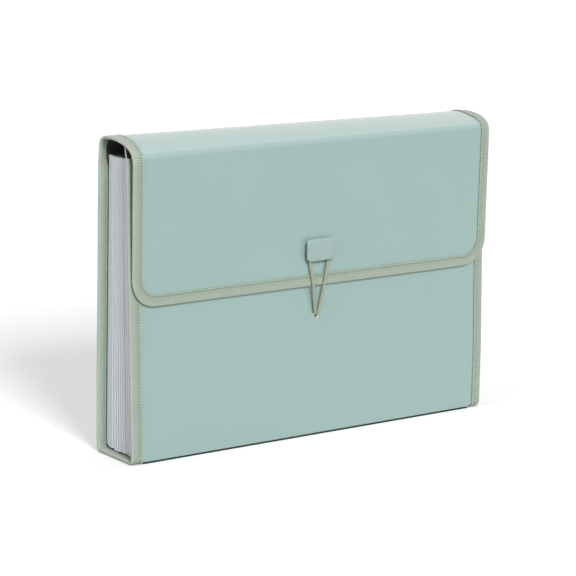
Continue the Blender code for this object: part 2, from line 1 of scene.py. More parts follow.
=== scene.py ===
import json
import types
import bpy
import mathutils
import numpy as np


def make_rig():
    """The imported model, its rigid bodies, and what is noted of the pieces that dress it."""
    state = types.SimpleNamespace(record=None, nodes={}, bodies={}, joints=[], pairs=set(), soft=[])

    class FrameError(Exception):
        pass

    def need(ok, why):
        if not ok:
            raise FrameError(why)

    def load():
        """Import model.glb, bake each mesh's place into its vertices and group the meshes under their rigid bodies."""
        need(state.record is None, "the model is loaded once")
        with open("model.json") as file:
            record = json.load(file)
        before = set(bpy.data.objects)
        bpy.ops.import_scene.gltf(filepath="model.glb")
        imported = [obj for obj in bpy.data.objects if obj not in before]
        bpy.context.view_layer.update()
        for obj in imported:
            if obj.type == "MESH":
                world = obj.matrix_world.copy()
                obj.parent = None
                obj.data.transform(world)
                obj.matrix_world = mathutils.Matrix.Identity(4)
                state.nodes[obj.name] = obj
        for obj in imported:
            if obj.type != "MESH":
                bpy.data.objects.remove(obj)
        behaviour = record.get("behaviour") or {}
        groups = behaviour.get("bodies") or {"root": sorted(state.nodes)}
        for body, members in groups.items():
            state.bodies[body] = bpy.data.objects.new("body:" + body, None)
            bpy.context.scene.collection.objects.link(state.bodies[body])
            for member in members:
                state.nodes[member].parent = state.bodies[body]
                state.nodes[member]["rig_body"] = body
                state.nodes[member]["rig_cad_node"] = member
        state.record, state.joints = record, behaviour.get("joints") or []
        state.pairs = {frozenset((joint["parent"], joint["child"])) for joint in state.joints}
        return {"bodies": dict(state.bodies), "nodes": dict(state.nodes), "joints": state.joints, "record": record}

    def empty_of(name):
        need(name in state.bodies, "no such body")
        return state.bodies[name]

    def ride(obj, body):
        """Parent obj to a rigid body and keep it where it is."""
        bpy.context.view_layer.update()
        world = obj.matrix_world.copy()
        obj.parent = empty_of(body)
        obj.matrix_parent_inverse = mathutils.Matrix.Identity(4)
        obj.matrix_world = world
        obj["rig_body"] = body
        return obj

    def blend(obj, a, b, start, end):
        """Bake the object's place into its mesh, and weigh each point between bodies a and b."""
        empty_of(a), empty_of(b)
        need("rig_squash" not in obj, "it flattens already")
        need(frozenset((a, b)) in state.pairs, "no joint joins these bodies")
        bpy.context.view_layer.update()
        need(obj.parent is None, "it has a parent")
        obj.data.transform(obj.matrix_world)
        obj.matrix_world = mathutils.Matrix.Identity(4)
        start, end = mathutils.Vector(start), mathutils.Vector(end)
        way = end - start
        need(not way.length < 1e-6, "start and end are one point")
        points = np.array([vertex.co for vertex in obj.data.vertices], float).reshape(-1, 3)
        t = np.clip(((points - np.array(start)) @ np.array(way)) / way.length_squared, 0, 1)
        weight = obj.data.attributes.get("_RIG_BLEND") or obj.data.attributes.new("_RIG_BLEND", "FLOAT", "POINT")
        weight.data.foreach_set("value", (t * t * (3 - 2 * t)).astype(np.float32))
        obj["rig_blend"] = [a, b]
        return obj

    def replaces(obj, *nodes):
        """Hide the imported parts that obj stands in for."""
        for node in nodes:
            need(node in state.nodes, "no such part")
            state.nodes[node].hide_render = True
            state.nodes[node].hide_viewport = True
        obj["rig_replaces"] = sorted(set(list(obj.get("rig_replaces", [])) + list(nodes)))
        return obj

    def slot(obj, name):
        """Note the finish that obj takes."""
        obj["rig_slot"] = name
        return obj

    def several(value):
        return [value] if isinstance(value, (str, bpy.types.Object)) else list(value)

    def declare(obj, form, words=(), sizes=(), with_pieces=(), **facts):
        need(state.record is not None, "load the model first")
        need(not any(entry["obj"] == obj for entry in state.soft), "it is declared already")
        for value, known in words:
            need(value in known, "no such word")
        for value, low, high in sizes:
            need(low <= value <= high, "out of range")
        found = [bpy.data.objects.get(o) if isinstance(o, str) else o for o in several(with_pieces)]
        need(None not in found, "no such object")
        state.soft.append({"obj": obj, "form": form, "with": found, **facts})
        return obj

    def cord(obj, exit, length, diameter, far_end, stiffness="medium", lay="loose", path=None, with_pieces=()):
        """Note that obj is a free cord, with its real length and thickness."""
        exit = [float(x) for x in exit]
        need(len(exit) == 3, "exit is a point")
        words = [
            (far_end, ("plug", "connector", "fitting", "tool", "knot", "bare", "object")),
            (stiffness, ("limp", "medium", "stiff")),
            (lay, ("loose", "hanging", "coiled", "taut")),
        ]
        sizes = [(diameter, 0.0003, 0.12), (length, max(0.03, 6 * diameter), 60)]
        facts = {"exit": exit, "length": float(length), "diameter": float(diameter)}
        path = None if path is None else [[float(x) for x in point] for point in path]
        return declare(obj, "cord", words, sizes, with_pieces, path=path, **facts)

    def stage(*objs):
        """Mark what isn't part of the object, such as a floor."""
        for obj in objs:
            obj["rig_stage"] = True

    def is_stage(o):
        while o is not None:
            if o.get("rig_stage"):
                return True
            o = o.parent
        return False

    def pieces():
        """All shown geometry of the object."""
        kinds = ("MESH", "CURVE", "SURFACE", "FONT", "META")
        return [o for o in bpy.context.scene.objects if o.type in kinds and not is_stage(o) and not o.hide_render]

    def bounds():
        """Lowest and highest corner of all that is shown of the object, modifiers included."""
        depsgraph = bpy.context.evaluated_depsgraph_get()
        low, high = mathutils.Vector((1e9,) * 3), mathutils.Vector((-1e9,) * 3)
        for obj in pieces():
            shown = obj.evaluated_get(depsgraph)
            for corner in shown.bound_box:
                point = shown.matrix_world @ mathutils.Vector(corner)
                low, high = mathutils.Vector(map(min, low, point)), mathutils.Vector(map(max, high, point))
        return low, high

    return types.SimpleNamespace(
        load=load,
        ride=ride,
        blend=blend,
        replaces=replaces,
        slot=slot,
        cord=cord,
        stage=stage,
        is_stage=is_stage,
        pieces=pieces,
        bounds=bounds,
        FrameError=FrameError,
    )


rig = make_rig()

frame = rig.load()
cadLow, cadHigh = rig.bounds()

import json
import math
import random

import bpy
import bmesh
import numpy as np
from mathutils import Vector

mm = 0.001
scene = bpy.context.scene

# The folder's own sizes in millimetres, over the edge tapes. Heights are above the floor, and
# depths run forward from the base's rear face
folder = {
    "half": 165.0,
    "rearFace": 31.264,       # y of the base's rear face
    "baseDepth": 54.0,
    "baseBend": 5.0,
    "frontAxis": 5.3,         # height of the front cover's axis
    "creaseHeight": 236.1,    # the lid's two creases
    "backLean": 10.5,
    "frontLean": 1.9,
    "frontTop": 231.3,        # the front cover ends below the lid
    "flapReach": 6.7,
    "flapEdgeReach": 2.0,
    "flapEdge": 119.5,
    "flapCorner": 22.0,
    "sheet": 0.8,
    "skin": 1.3,              # from the tape's outer face to the middle of the sheet
    "closure": 2.0,           # the closure sits this far right of the middle
    "buttonHeight": 148.7,
    "eyeletHeight": 95.5,
}


def unit(v):
    v = np.asarray(v, float)
    return v / np.linalg.norm(v)


rearFace = folder["rearFace"]
frontFace = rearFace - folder["baseDepth"]
skin = folder["skin"]
sheetHalf = folder["half"] - skin
backFoot = np.array([rearFace, folder["baseBend"]])
backCrease = np.array([rearFace - folder["backLean"], folder["creaseHeight"]])
flapCrease = np.array([frontFace - folder["flapReach"], folder["creaseHeight"]])
flapEnd = np.array([frontFace - folder["flapEdgeReach"], folder["flapEdge"]])
frontFoot = np.array([frontFace, folder["baseBend"]])
frontCrease = np.array([frontFace + folder["frontLean"], folder["creaseHeight"]])
frontHinge = np.array([frontFace, folder["frontAxis"]])
backUp, frontUp, flapDown = unit(backCrease - backFoot), unit(frontCrease - frontFoot), unit(flapEnd - flapCrease)
flapOut, frontOut = np.array([flapDown[1], -flapDown[0]]), np.array([-frontUp[1], frontUp[0]])
flapLength = float(np.linalg.norm(flapEnd - flapCrease))


# Camera, at the photograph's angle; it comes first
cameraSetup = {
    "focalLength": 151.23,    # mm, on a 36 mm sensor
    "azimuth": 34.0153,
    "elevation": 11.3434,
    "distance": 1.8968,
    "target": (-0.00484, 0.006264, 0.11314),
}


def makeCamera(setup):
    data = bpy.data.cameras.new("photoCamera")
    data.sensor_width = 36
    data.lens = setup["focalLength"]
    data.clip_start, data.clip_end = 0.05, 60
    camera = bpy.data.objects.new("photoCamera", data)
    scene.collection.objects.link(camera)
    a, e = math.radians(setup["azimuth"]), math.radians(setup["elevation"])
    back = Vector((-math.sin(a) * math.cos(e), -math.cos(a) * math.cos(e), math.sin(e)))
    camera.location = Vector(setup["target"]) + back * setup["distance"]
    camera.rotation_euler = (-back).to_track_quat("-Z", "Y").to_euler()
    scene.camera = camera


makeCamera(cameraSetup)
print("camera in place")


# Materials
def srgb(code):
    parts = [int(code[i:i + 2], 16) / 255 for i in (1, 3, 5)]
    return [c / 12.92 if c <= 0.04045 else ((c + 0.055) / 1.055) ** 2.4 for c in parts] + [1.0]


def addNode(tree, kind, settings=None):
    # a node with its properties, socket values and links; a node as a value gives its first output
    node = tree.nodes.new("ShaderNode" + kind)
    for key, value in (settings or {}).items():
        if isinstance(value, bpy.types.Node):
            value = value.outputs[0]
        if isinstance(value, bpy.types.NodeSocket):
            tree.links.new(value, node.inputs[key])
        elif isinstance(key, int) or (key in node.inputs and not hasattr(type(node), key)):
            node.inputs[key].default_value = value
        else:
            setattr(node, key, value)
    return node


def startTree(owner):
    owner.use_nodes = True
    owner.node_tree.nodes.clear()
    return owner.node_tree


def startMaterial(name):
    # the tree, and the place on the object that its patterns are laid by
    material = bpy.data.materials.new(name)
    tree = startTree(material)
    return material, tree, addNode(tree, "TexCoord").outputs["Object"]


def addSurface(tree, shader):
    addNode(tree, "OutputMaterial", {"Surface": addNode(tree, "BsdfPrincipled", shader)})


def addGrain(tree, noise, strength, height):
    # a noise, and the bump that it makes with this height in mm
    level = addNode(tree, "TexNoise", noise)
    return level, addNode(tree, "Bump", {"Strength": strength, "Distance": height * mm, "Height": level})


def makeSheetPlastic(name, color, pale, roughness, cell, coat, sheen):
    # Polypropylene sheet, extruded and rolled with a sand grain: satin, with a soft sheen at a
    # low angle, and paler where a crease has stretched it. The pale marks are also painted light:
    # a painted highlight along the front creases and a painted sheen over the lid
    material, tree, place = startMaterial(name)
    cloud = addNode(tree, "TexNoise", {"Scale": 14.0, "Detail": 2.0, "Vector": place})
    shade = addNode(tree, "MapRange", {"From Min": 0.3, "From Max": 0.7, "To Min": 0.988, "To Max": 1.012,
                                       "Value": cloud})
    tone = addNode(tree, "HueSaturation", {"Color": srgb(color), "Value": shade})
    # the pale mark: a crease's stretching, and also a painted highlight and a painted sheen on the mint sheet
    mark = addNode(tree, "Attribute", {"attribute_name": "whiteningAndPaintedSheen"}).outputs["Fac"]
    base = addNode(tree, "Mix", {"data_type": "RGBA", 0: mark, 6: tone, 7: srgb(pale)}).outputs[2]
    grain, bump = addGrain(tree, {"Scale": 1 / (cell * mm), "Detail": 2.0, "Roughness": 0.55, "Vector": place},
                           1.0, 0.02)
    rough = addNode(tree, "MapRange", {"From Min": 0.3, "From Max": 0.7, "To Min": roughness - 0.04,
                                       "To Max": roughness + 0.04, "Value": grain})
    addSurface(tree, {"Base Color": base, "Roughness": rough, "Normal": bump, "IOR": 1.49,
                      "Coat Weight": coat, "Coat Roughness": 0.2, "Coat IOR": 1.5,
                      "Sheen Weight": sheen, "Sheen Roughness": 0.3})
    return material


# The real grain is about 0.1 mm; it is drawn at 0.7 mm so that it shows
# the mint sheet's pale colour marks its stretched creases, and also its painted highlight and painted sheen
mintSheet = makeSheetPlastic("polypropyleneMintSandGrain", "#9bb8b3", "#cbd5d2", 0.34, 0.7, 1.0, 0.6)
blackSheet = makeSheetPlastic("polypropyleneBlackFineGrain", "#444342", "#545352", 0.5, 0.7, 0.0, 0.0)
frostedSheet = makeSheetPlastic("polypropyleneFrostedFilm", "#dde3e9", "#e8ecef", 0.4, 0.9, 0.0, 0.0)


tapeWeave = {
    "selvedge": "#9aaa9b",    # the woven edge under the seam
    "groove": "#96a898",
    "rib": "#a2b1a2",
    "body": "#aab5a8",        # the smooth outer half
    "fold": "#b0baad",
    # the zones across the tape, from its fold to its selvedge; the fold's paler colour is partly a painted highlight
    # and the groove's darker colour partly painted shade
    "zones": ((0.0, "fold"), (0.16, "fold"), (0.24, "body"), (0.46, "body"), (0.54, "rib"), (0.72, "rib"),
              (0.76, "groove"), (0.81, "groove"), (0.86, "selvedge"), (0.97, "selvedge"), (1.0, "groove")),
    "ribPitch": 2.0,          # mm; the real ribs are about 0.8 mm, too fine for the image
    "threadPitch": 0.5,
}


def makeTape(name, weave, ribsOutside):
    # Polyester edge tape, woven and then ironed round the sheet: matt, with cross ribs and a
    # bright selvedge. The UV map runs across the tape from its fold, and along it in metres
    material, tree, place = startMaterial(name)
    split = addNode(tree, "SeparateXYZ", {"Vector": addNode(tree, "UVMap", {"uv_map": "weave"})})
    across, along = split.outputs["X"], split.outputs["Y"]
    # the ramp paints the fold paler and the groove darker, partly as painted highlight and painted shade
    zone = addNode(tree, "ValToRGB", {"Fac": across})
    stops = zone.color_ramp.elements
    while len(stops) < len(weave["zones"]):
        stops.new(0.5)
    for stop, (position, key) in zip(stops, weave["zones"]):
        stop.position, stop.color = position, srgb(weave[key])
    wander = addNode(tree, "TexNoise", {"Scale": 90.0, "Detail": 2.0, "Vector": place})
    phase = addNode(tree, "Math", {"operation": "MULTIPLY", 0: along, 1: 2 * math.pi / (weave["ribPitch"] * mm)})
    swayed = addNode(tree, "Math", {"operation": "MULTIPLY_ADD", 0: wander, 1: 3.0, 2: phase})
    ribs = addNode(tree, "Math", {"operation": "SINE", 0: swayed})
    run = addNode(tree, "Math", {"operation": "MULTIPLY", 0: across, 1: 2 * math.pi * 10 / weave["threadPitch"]})
    threads = addNode(tree, "Math", {"operation": "SINE", 0: run})
    # ribs are strong in the stitched third and faint over the smooth part
    strength = addNode(tree, "MapRange", {"From Min": 0.4, "From Max": 0.56, "To Min": ribsOutside, "To Max": 1.0,
                                          "Value": across})
    ribLevel = addNode(tree, "Math", {"operation": "MULTIPLY", 0: ribs, 1: strength})
    level = addNode(tree, "Math", {"operation": "MULTIPLY_ADD", 0: threads, 1: 0.25, 2: ribLevel})
    ribTint = addNode(tree, "Math", {"operation": "MULTIPLY_ADD", 0: ribLevel, 1: 0.15, 2: 0.95})
    tint = addNode(tree, "Math", {"operation": "MULTIPLY_ADD", 0: wander, 1: 0.1, 2: ribTint})
    addSurface(tree, {"Base Color": addNode(tree, "HueSaturation", {"Color": zone, "Value": tint}),
                      "Normal": addNode(tree, "Bump", {"Strength": 0.8, "Distance": 0.09 * mm, "Height": level}),
                      "Roughness": 0.78, "IOR": 1.5, "Specular IOR Level": 0.35,
                      "Sheen Weight": 0.6, "Sheen Roughness": 0.4})
    return material


# The flap's and the lid's tape is smoother in its outer half than the body's
sageTape = makeTape("polyesterTapeWoven", tapeWeave, 0.2)
ribbedTape = makeTape("polyesterTapeRibbed", tapeWeave, 0.5)


def makeThread(name, color):
    # Polyester sewing thread, twisted: a slight gloss, darker in the turns of its twist
    material, tree, place = startMaterial(name)
    twist, bump = addGrain(tree, {"Scale": 2500.0, "Detail": 1.0, "Vector": place}, 0.5, 0.03)
    lit = addNode(tree, "Math", {"operation": "MULTIPLY_ADD", 0: twist, 1: 0.3, 2: 0.85})
    addSurface(tree, {"Base Color": addNode(tree, "HueSaturation", {"Color": srgb(color), "Value": lit}),
                      "Normal": bump, "Roughness": 0.55, "IOR": 1.5, "Sheen Weight": 0.2})
    return material


sageThread = makeThread("polyesterThreadTwisted", "#ced5c7")


def makeBraid(name, color, dark, pitch):
    # Rubber core under braided polyester: matt, with a herringbone of crossing yarns.
    # The UV map runs in turns round the cord and in metres along it
    material, tree, _ = startMaterial(name)
    split = addNode(tree, "SeparateXYZ", {"Vector": addNode(tree, "UVMap", {"uv_map": "weave"})})
    turns = addNode(tree, "Math", {"operation": "MULTIPLY", 0: split.outputs["X"], 1: 2 * math.pi * 4})
    run = addNode(tree, "Math", {"operation": "MULTIPLY", 0: split.outputs["Y"], 1: 2 * math.pi / (pitch * mm)})
    waves = []
    for way in ("ADD", "SUBTRACT"):
        crossing = addNode(tree, "Math", {"operation": way, 0: turns, 1: run})
        waves.append(addNode(tree, "Math", {"operation": "SINE", 0: crossing}))
    yarns = addNode(tree, "Math", {"operation": "MAXIMUM", 0: waves[0], 1: waves[1]})
    high = addNode(tree, "Math", {"operation": "MULTIPLY_ADD", 0: yarns, 1: 0.5, 2: 0.5})
    base = addNode(tree, "Mix", {"data_type": "RGBA", 0: high, 6: srgb(dark), 7: srgb(color)}).outputs[2]
    addSurface(tree, {"Base Color": base, "Roughness": 0.7, "IOR": 1.5, "Sheen Weight": 0.15,
                      "Normal": addNode(tree, "Bump", {"Strength": 0.8, "Distance": 0.1 * mm, "Height": yarns})})
    return material


# The real yarns repeat at 1 mm; they are drawn at 1.8 mm so that they show
sageBraid = makeBraid("elasticBraided", "#b0b7a2", "#8a937e", 1.8)


def makeMoulded(name, color, roughness, cell):
    # Polypropylene, injection moulded in a lightly blasted tool: even satin with a soft edge gloss
    material, tree, place = startMaterial(name)
    grain, bump = addGrain(tree, {"Scale": 1 / (cell * mm), "Detail": 2.0, "Roughness": 0.55, "Vector": place},
                           1.0, 0.012)
    lit = addNode(tree, "Math", {"operation": "MULTIPLY_ADD", 0: grain, 1: 0.03, 2: 0.985})
    addSurface(tree, {"Base Color": addNode(tree, "HueSaturation", {"Color": srgb(color), "Value": lit}),
                      "Normal": bump, "Roughness": roughness, "IOR": 1.49})
    return material


# Its real grain is finer than 0.1 mm, drawn at 0.6 mm
buttonPlastic = makeMoulded("polypropyleneMoulded", "#a3bab6", 0.36, 0.6)


def makeNickel(name, color):
    # Steel, nickel plated and barrel polished: bright, with fine rubbed marks
    material, tree, place = startMaterial(name)
    rub = addNode(tree, "TexNoise", {"Scale": 1800.0, "Detail": 3.0, "Vector": place})
    addSurface(tree, {"Base Color": srgb(color), "Metallic": 1.0,
                      "Roughness": addNode(tree, "Math", {"operation": "MULTIPLY_ADD", 0: rub, 1: 0.2, 2: 0.1})})
    return material


nickel = makeNickel("steelNickelPlated", "#dedcd6")


def makeCard(name, low, high):
    # Card, calendered and uncoated: matt white with a faint fibre
    material, tree, place = startMaterial(name)
    fibre, bump = addGrain(tree, {"Scale": 1200.0, "Detail": 4.0, "Vector": place}, 0.3, 0.02)
    base = addNode(tree, "Mix", {"data_type": "RGBA", 0: fibre, 6: srgb(low), 7: srgb(high)}).outputs[2]
    addSurface(tree, {"Base Color": base, "Normal": bump, "Roughness": 0.8, "IOR": 1.45})
    return material


whiteCard = makeCard("cardUncoated", "#e2e1dc", "#f2f1ed")
print("materials made")


# The section of the cover: from the base's middle round the rear bend, up the back, over the
# lid and down the flap. It is the line of the tapes' outer faces, and it changes with x,
# because the tapes round the creases off at both ends
lidShape = {
    "baseCut": -12.0,          # y where the front sheet takes over on the base
    "riseLeft": 10.7,
    "riseRight": 6.2,
    "skew": 1.0,               # the lid is fuller at the back than at the front
    "band": 5.0,               # between the two crease lines of the front
    "bandTilt": 12.0,
    "filletRear": 2.2,
    "fillet": 2.0,
    "bandBend": 9.0,           # the band runs softly into the flap
    "rearBelow": 12.0,         # how far the rear rounding reaches down the back and over the lid
    "rearAbove": 22.0,
    "frontBefore": 14.0,
    "frontBelow": 15.0,
    # the section at the two ends, where the tapes hold the sheet round
    "leftEnd": ((20.2, 231.0), (19.5, 237.6), (17.3, 242.5), (12.0, 244.9), (4.5, 245.4), (-3.0, 245.0),
                (-10.0, 243.9), (-16.5, 242.2), (-22.3, 239.6), (-26.2, 236.2), (-28.2, 232.0), (-28.95, 227.5)),
    "rightEnd": ((20.1, 230.0), (19.0, 235.5), (16.2, 238.9), (10.0, 241.0), (3.0, 241.9), (-4.0, 241.9),
                 (-11.0, 241.3), (-17.5, 240.0), (-23.0, 237.9), (-26.8, 235.1), (-28.6, 231.0), (-28.95, 226.0)),
    # how round the section is: x and share
    "roundX": (-165.0, -155.5, -152.0, -147.0, 151.0, 156.5, 165.0),
    "roundShare": (1.0, 0.55, 0.12, 0.0, 0.0, 0.3, 1.0),
    "warp": 0.25,              # slow waves of the sheet, in mm
    # points of the section in each zone
    "zones": {"base": 6, "rearBend": 8, "back": 26, "rearCrease": 24, "lid": 10, "frontCrease": 40, "flap": 24},
    # the front cover's section is creased tightly, and the tapes round its ends off: x and radius
    "footX": (152, 160),
    "footRadius": (1.6, folder["baseBend"]),
    "frontZones": {"base": 5, "bend": 9, "cover": 34},
}
secondCrease = flapCrease + flapDown * lidShape["band"]
tilt = math.radians(lidShape["bandTilt"])
bandDown = flapDown * math.cos(tilt) + flapOut * math.sin(tilt)
firstCrease = secondCrease - bandDown * lidShape["band"]


def slowWave(x, share, seed):
    # a few long waves across a panel, none at its two ends
    phase = random.Random(seed)
    total = 0.0
    for k in (1, 2, 3):
        total += math.sin(x / (95 / k) + phase.uniform(0, 6.3)) * math.cos(share * 3 * k + phase.uniform(0, 6.3)) / k
    return lidShape["warp"] * total * math.sin(math.pi * share) ** 2


def arcPoints(rise, shares):
    # the lid's arc from the rear crease to the front one, and its length
    chord = firstCrease - backCrease
    span = np.linalg.norm(chord)
    radius = (span * span / 4 + rise * rise) / (2 * rise)
    half = math.asin(span / 2 / radius)
    flat = chord / span
    up = np.array([flat[1], -flat[0]])
    centre = (backCrease + firstCrease) / 2 + up * (rise - radius)
    angles = half * (2 * np.asarray(shares, float) - 1)
    points = centre + radius * (np.outer(np.sin(angles), flat) + np.outer(np.cos(angles), up))
    points[:, 1] += lidShape["skew"] * np.sin(2 * math.pi * np.asarray(shares))
    return points, 2 * radius * half


def bend(start, startWay, end, endWay, count):
    # a round bend between two lines, as one Bezier
    turn = math.acos(max(-1.0, min(1.0, float(startWay @ endWay))))
    chord = np.linalg.norm(end - start)
    reach = 4 / 3 * math.tan(turn / 4) * chord / (2 * math.sin(turn / 2)) if turn > 0.001 else chord / 3
    t = np.linspace(0, 1, count)[:, None]
    a, b = start + startWay * reach, end - endWay * reach
    return (1 - t) ** 3 * start + 3 * (1 - t) ** 2 * t * a + 3 * (1 - t) * t ** 2 * b + t ** 3 * end


def lengths(points):
    return np.concatenate([[0], np.cumsum(np.linalg.norm(np.diff(points, axis=0), axis=1))])


def alongLine(values, run, places):
    # rows of values at some distances along a line
    return np.stack([np.interp(places, run, values[:, i]) for i in range(values.shape[1])], -1)


def smoothRoute(points, steps):
    # Catmull-Rom points through a route
    points = [np.asarray(p, float) for p in points]
    padded = [2 * points[0] - points[1]] + points + [2 * points[-1] - points[-2]]
    route = []
    for i in range(1, len(padded) - 2):
        a, b, c, d = padded[i - 1:i + 3]
        for j in range(steps):
            t = j / steps
            route.append((2 * b + (c - a) * t + (2 * a - 5 * b + 4 * c - d) * t ** 2
                          + (3 * b - a - 3 * c + d) * t ** 3) / 2)
    return np.array(route + [points[-1]])


def mixed(sharp, rounded, share):
    if share <= 0:
        return sharp
    run, roundRun = lengths(sharp), lengths(rounded)
    return sharp * (1 - share) + alongLine(rounded, roundRun, run / run[-1] * roundRun[-1]) * share


def curveNormals(points, side):
    steps = np.diff(points, axis=0)
    steps /= np.linalg.norm(steps, axis=1)[:, None]
    ways = np.concatenate([steps[:1], steps[:-1] + steps[1:], steps[-1:]])
    ways /= np.linalg.norm(ways, axis=1)[:, None]
    return side * np.stack([ways[:, 1], -ways[:, 0]], 1)


sectionCache = {}


def sectionAt(x):
    # points and outward normals of the cover's section at x, always the same number of them
    key = round(x, 3)
    if key in sectionCache:
        return sectionCache[key]
    s, n = lidShape, lidShape["zones"]
    rise = s["riseLeft"] + (s["riseRight"] - s["riseLeft"]) * (x + folder["half"]) / (2 * folder["half"])
    bendCentre = np.array([rearFace - folder["baseBend"], folder["baseBend"]])
    base = np.linspace([s["baseCut"], 0], [bendCentre[0], 0], n["base"])[:-1]
    angles = np.linspace(-math.pi / 2, 0, n["rearBend"])
    rearBend = bendCentre + folder["baseBend"] * np.stack([np.cos(angles), np.sin(angles)], 1)
    rearStart = backCrease - backUp * s["rearBelow"]
    back = np.linspace(backFoot, rearStart, n["back"])
    back += np.outer([slowWave(x, k / (n["back"] - 1), 3) for k in range(n["back"])], [backUp[1], -backUp[0]])
    total = arcPoints(rise, [0])[1]

    def lidAt(distances):
        return arcPoints(rise, np.asarray(distances) / total)[0]

    def lidWay(distance):
        return unit(lidAt([distance + 0.05])[0] - lidAt([distance - 0.05])[0])

    # rear crease
    set1 = s["filletRear"] * math.tan(math.acos(float(backUp @ lidWay(0.1))) / 2)
    corner = bend(backCrease - backUp * set1, backUp, lidAt([set1])[0], lidWay(set1), 8)
    before = np.linspace(rearStart, corner[0], 6)[:-1]
    after = lidAt(np.linspace(set1, s["rearAbove"], n["rearCrease"] - len(before) - len(corner) + 1))[1:]
    lid = lidAt(np.linspace(s["rearAbove"], total - s["frontBefore"], n["lid"]))
    # front creases: lid, band, flap
    set2 = s["fillet"] * math.tan(math.acos(float(lidWay(total - 0.1) @ bandDown)) / 2)
    set3 = s["bandBend"] * math.tan(tilt / 2)
    first = bend(lidAt([total - set2])[0], lidWay(total - set2), firstCrease + bandDown * set2, bandDown, 9)
    second = bend(secondCrease - bandDown * set3, bandDown, secondCrease + flapDown * set3, flapDown, 9)
    flapStart = flapCrease + flapDown * s["frontBelow"]
    lead = lidAt(np.linspace(total - s["frontBefore"], total - set2, 12))[:-1]
    band = np.linspace(first[-1], second[0], 7)[1:-1]
    made = np.concatenate([lead, first, band, second])
    tail = np.linspace(second[-1], flapStart, n["frontCrease"] - len(made) + 1)[1:]
    top = np.concatenate([before, corner, after[:-1], lid[:-1], made, tail])
    end = s["leftEnd"] if x < 0 else s["rightEnd"]
    top = mixed(top, smoothRoute([rearStart, *end, flapStart], 8), float(np.interp(x, s["roundX"], s["roundShare"])))
    flap = np.array([flapPoint(x, v) for v in np.linspace(s["frontBelow"], flapLength, n["flap"])])
    points = np.concatenate([base, rearBend[:-1], back[:-1], top[:-1], flap])
    sectionCache[key] = (points, curveNormals(points, 1))
    return sectionCache[key]


def flapPoint(x, v):
    share = (v - lidShape["frontBelow"]) / (flapLength - lidShape["frontBelow"])
    return flapCrease + flapDown * v + (slowWave(x, share, 8) if share > 0 else 0.0) * flapOut


def frontSectionAt(x):
    # the front cover's section: from the base's middle round the front bend and up
    key = ("front", round(x, 3))
    if key in sectionCache:
        return sectionCache[key]
    n = lidShape["frontZones"]
    radius = float(np.interp(abs(x), lidShape["footX"], lidShape["footRadius"]))
    centre = np.array([frontFoot[0] + radius, radius])
    base = np.linspace([lidShape["baseCut"], 0], [centre[0], 0], n["base"])[:-1]
    angles = np.linspace(-math.pi / 2, -math.pi, n["bend"])
    turn = centre + radius * np.stack([np.cos(angles), np.sin(angles)], 1)
    frontLength = (folder["frontTop"] - frontFoot[1]) / frontUp[1]
    cover = np.linspace(frontFoot, frontFoot + frontUp * frontLength, n["cover"])
    cover += np.outer([slowWave(x, k / (n["cover"] - 1), 21) for k in range(n["cover"])], frontOut)
    points = np.concatenate([base, turn, cover])
    sectionCache[key] = (points, curveNormals(points, -1))
    return sectionCache[key]


def edgeShift(x, y, z, front=False):
    # how far the two ends stand off the straight line, read from the photograph's outline
    if front:
        left, right = 0.0, float(np.interp(z, (0, 5, 50), (0.4, 0.7, 1.9)))
    else:
        flapShare = min(1.0, max(0.0, (20 - y) / 48)) if z > 228 else (1.0 if y < -24.5 else 0.0)
        left = -0.5 * min(1.0, z / 60) * (1 - flapShare) + 1.2 * flapShare
        right = 0.4 + 1.1 * min(1.0, z / 60)
    nearLeft = min(1.0, max(0.0, (-x - 155) / 10))
    nearRight = min(1.0, max(0.0, (x - 120) / 30))
    return left * nearLeft + right * nearRight * nearRight * (3 - 2 * nearRight)


def onSection(section, x, place, depth):
    # a point on the cover; place counts the section's points, depth runs inwards from the tape's face
    points, normals = section(x)
    low = min(int(place), len(points) - 2)
    part = place - low
    y, z = p = points[low] * (1 - part) + points[low + 1] * part
    p = p - unit(normals[low] * (1 - part) + normals[low + 1] * part) * depth
    return np.array([x + edgeShift(x, y, z, section is frontSectionAt), p[0], p[1]])


zoneEnds = {}
total = 0
for zoneName, count in lidShape["zones"].items():
    total += count - 1
    zoneEnds[zoneName] = total
rearCut = zoneEnds["back"] + 2            # on the back, below the rear crease
frontCut = zoneEnds["lid"] + 3            # on the lid, behind the front crease
frontLast = len(frontSectionAt(0)[0]) - 1
print("sections", len(sectionAt(0)[0]) - 1, zoneEnds, "cuts", rearCut, frontCut)


def toMetres(points):
    return [Vector(p) * mm for p in np.asarray(points).reshape(-1, 3)]


def makeObject(name, points, faces, materials, sharp=35, uvs=None, marks=None):
    # a mesh in millimetres as a piece in metres, smooth but for its sharp edges
    mesh = bpy.data.meshes.new(name)
    mesh.from_pydata(toMetres(points), [], faces)
    for material in materials:
        mesh.materials.append(material)
    if uvs is not None:
        layer = mesh.uv_layers.new(name="weave")
        for loop in mesh.loops:
            layer.data[loop.index].uv = uvs[loop.vertex_index]
    if marks is not None:
        mesh.attributes.new("whiteningAndPaintedSheen", "FLOAT", "POINT").data.foreach_set("value", np.asarray(marks, np.float32))
    bm = bmesh.new()
    bm.from_mesh(mesh)
    bmesh.ops.recalc_face_normals(bm, faces=bm.faces)
    bm.to_mesh(mesh)
    bm.free()
    mesh.shade_smooth()
    mesh.set_sharp_from_angle(angle=math.radians(sharp))
    piece = bpy.data.objects.new(name, mesh)
    scene.collection.objects.link(piece)
    return piece


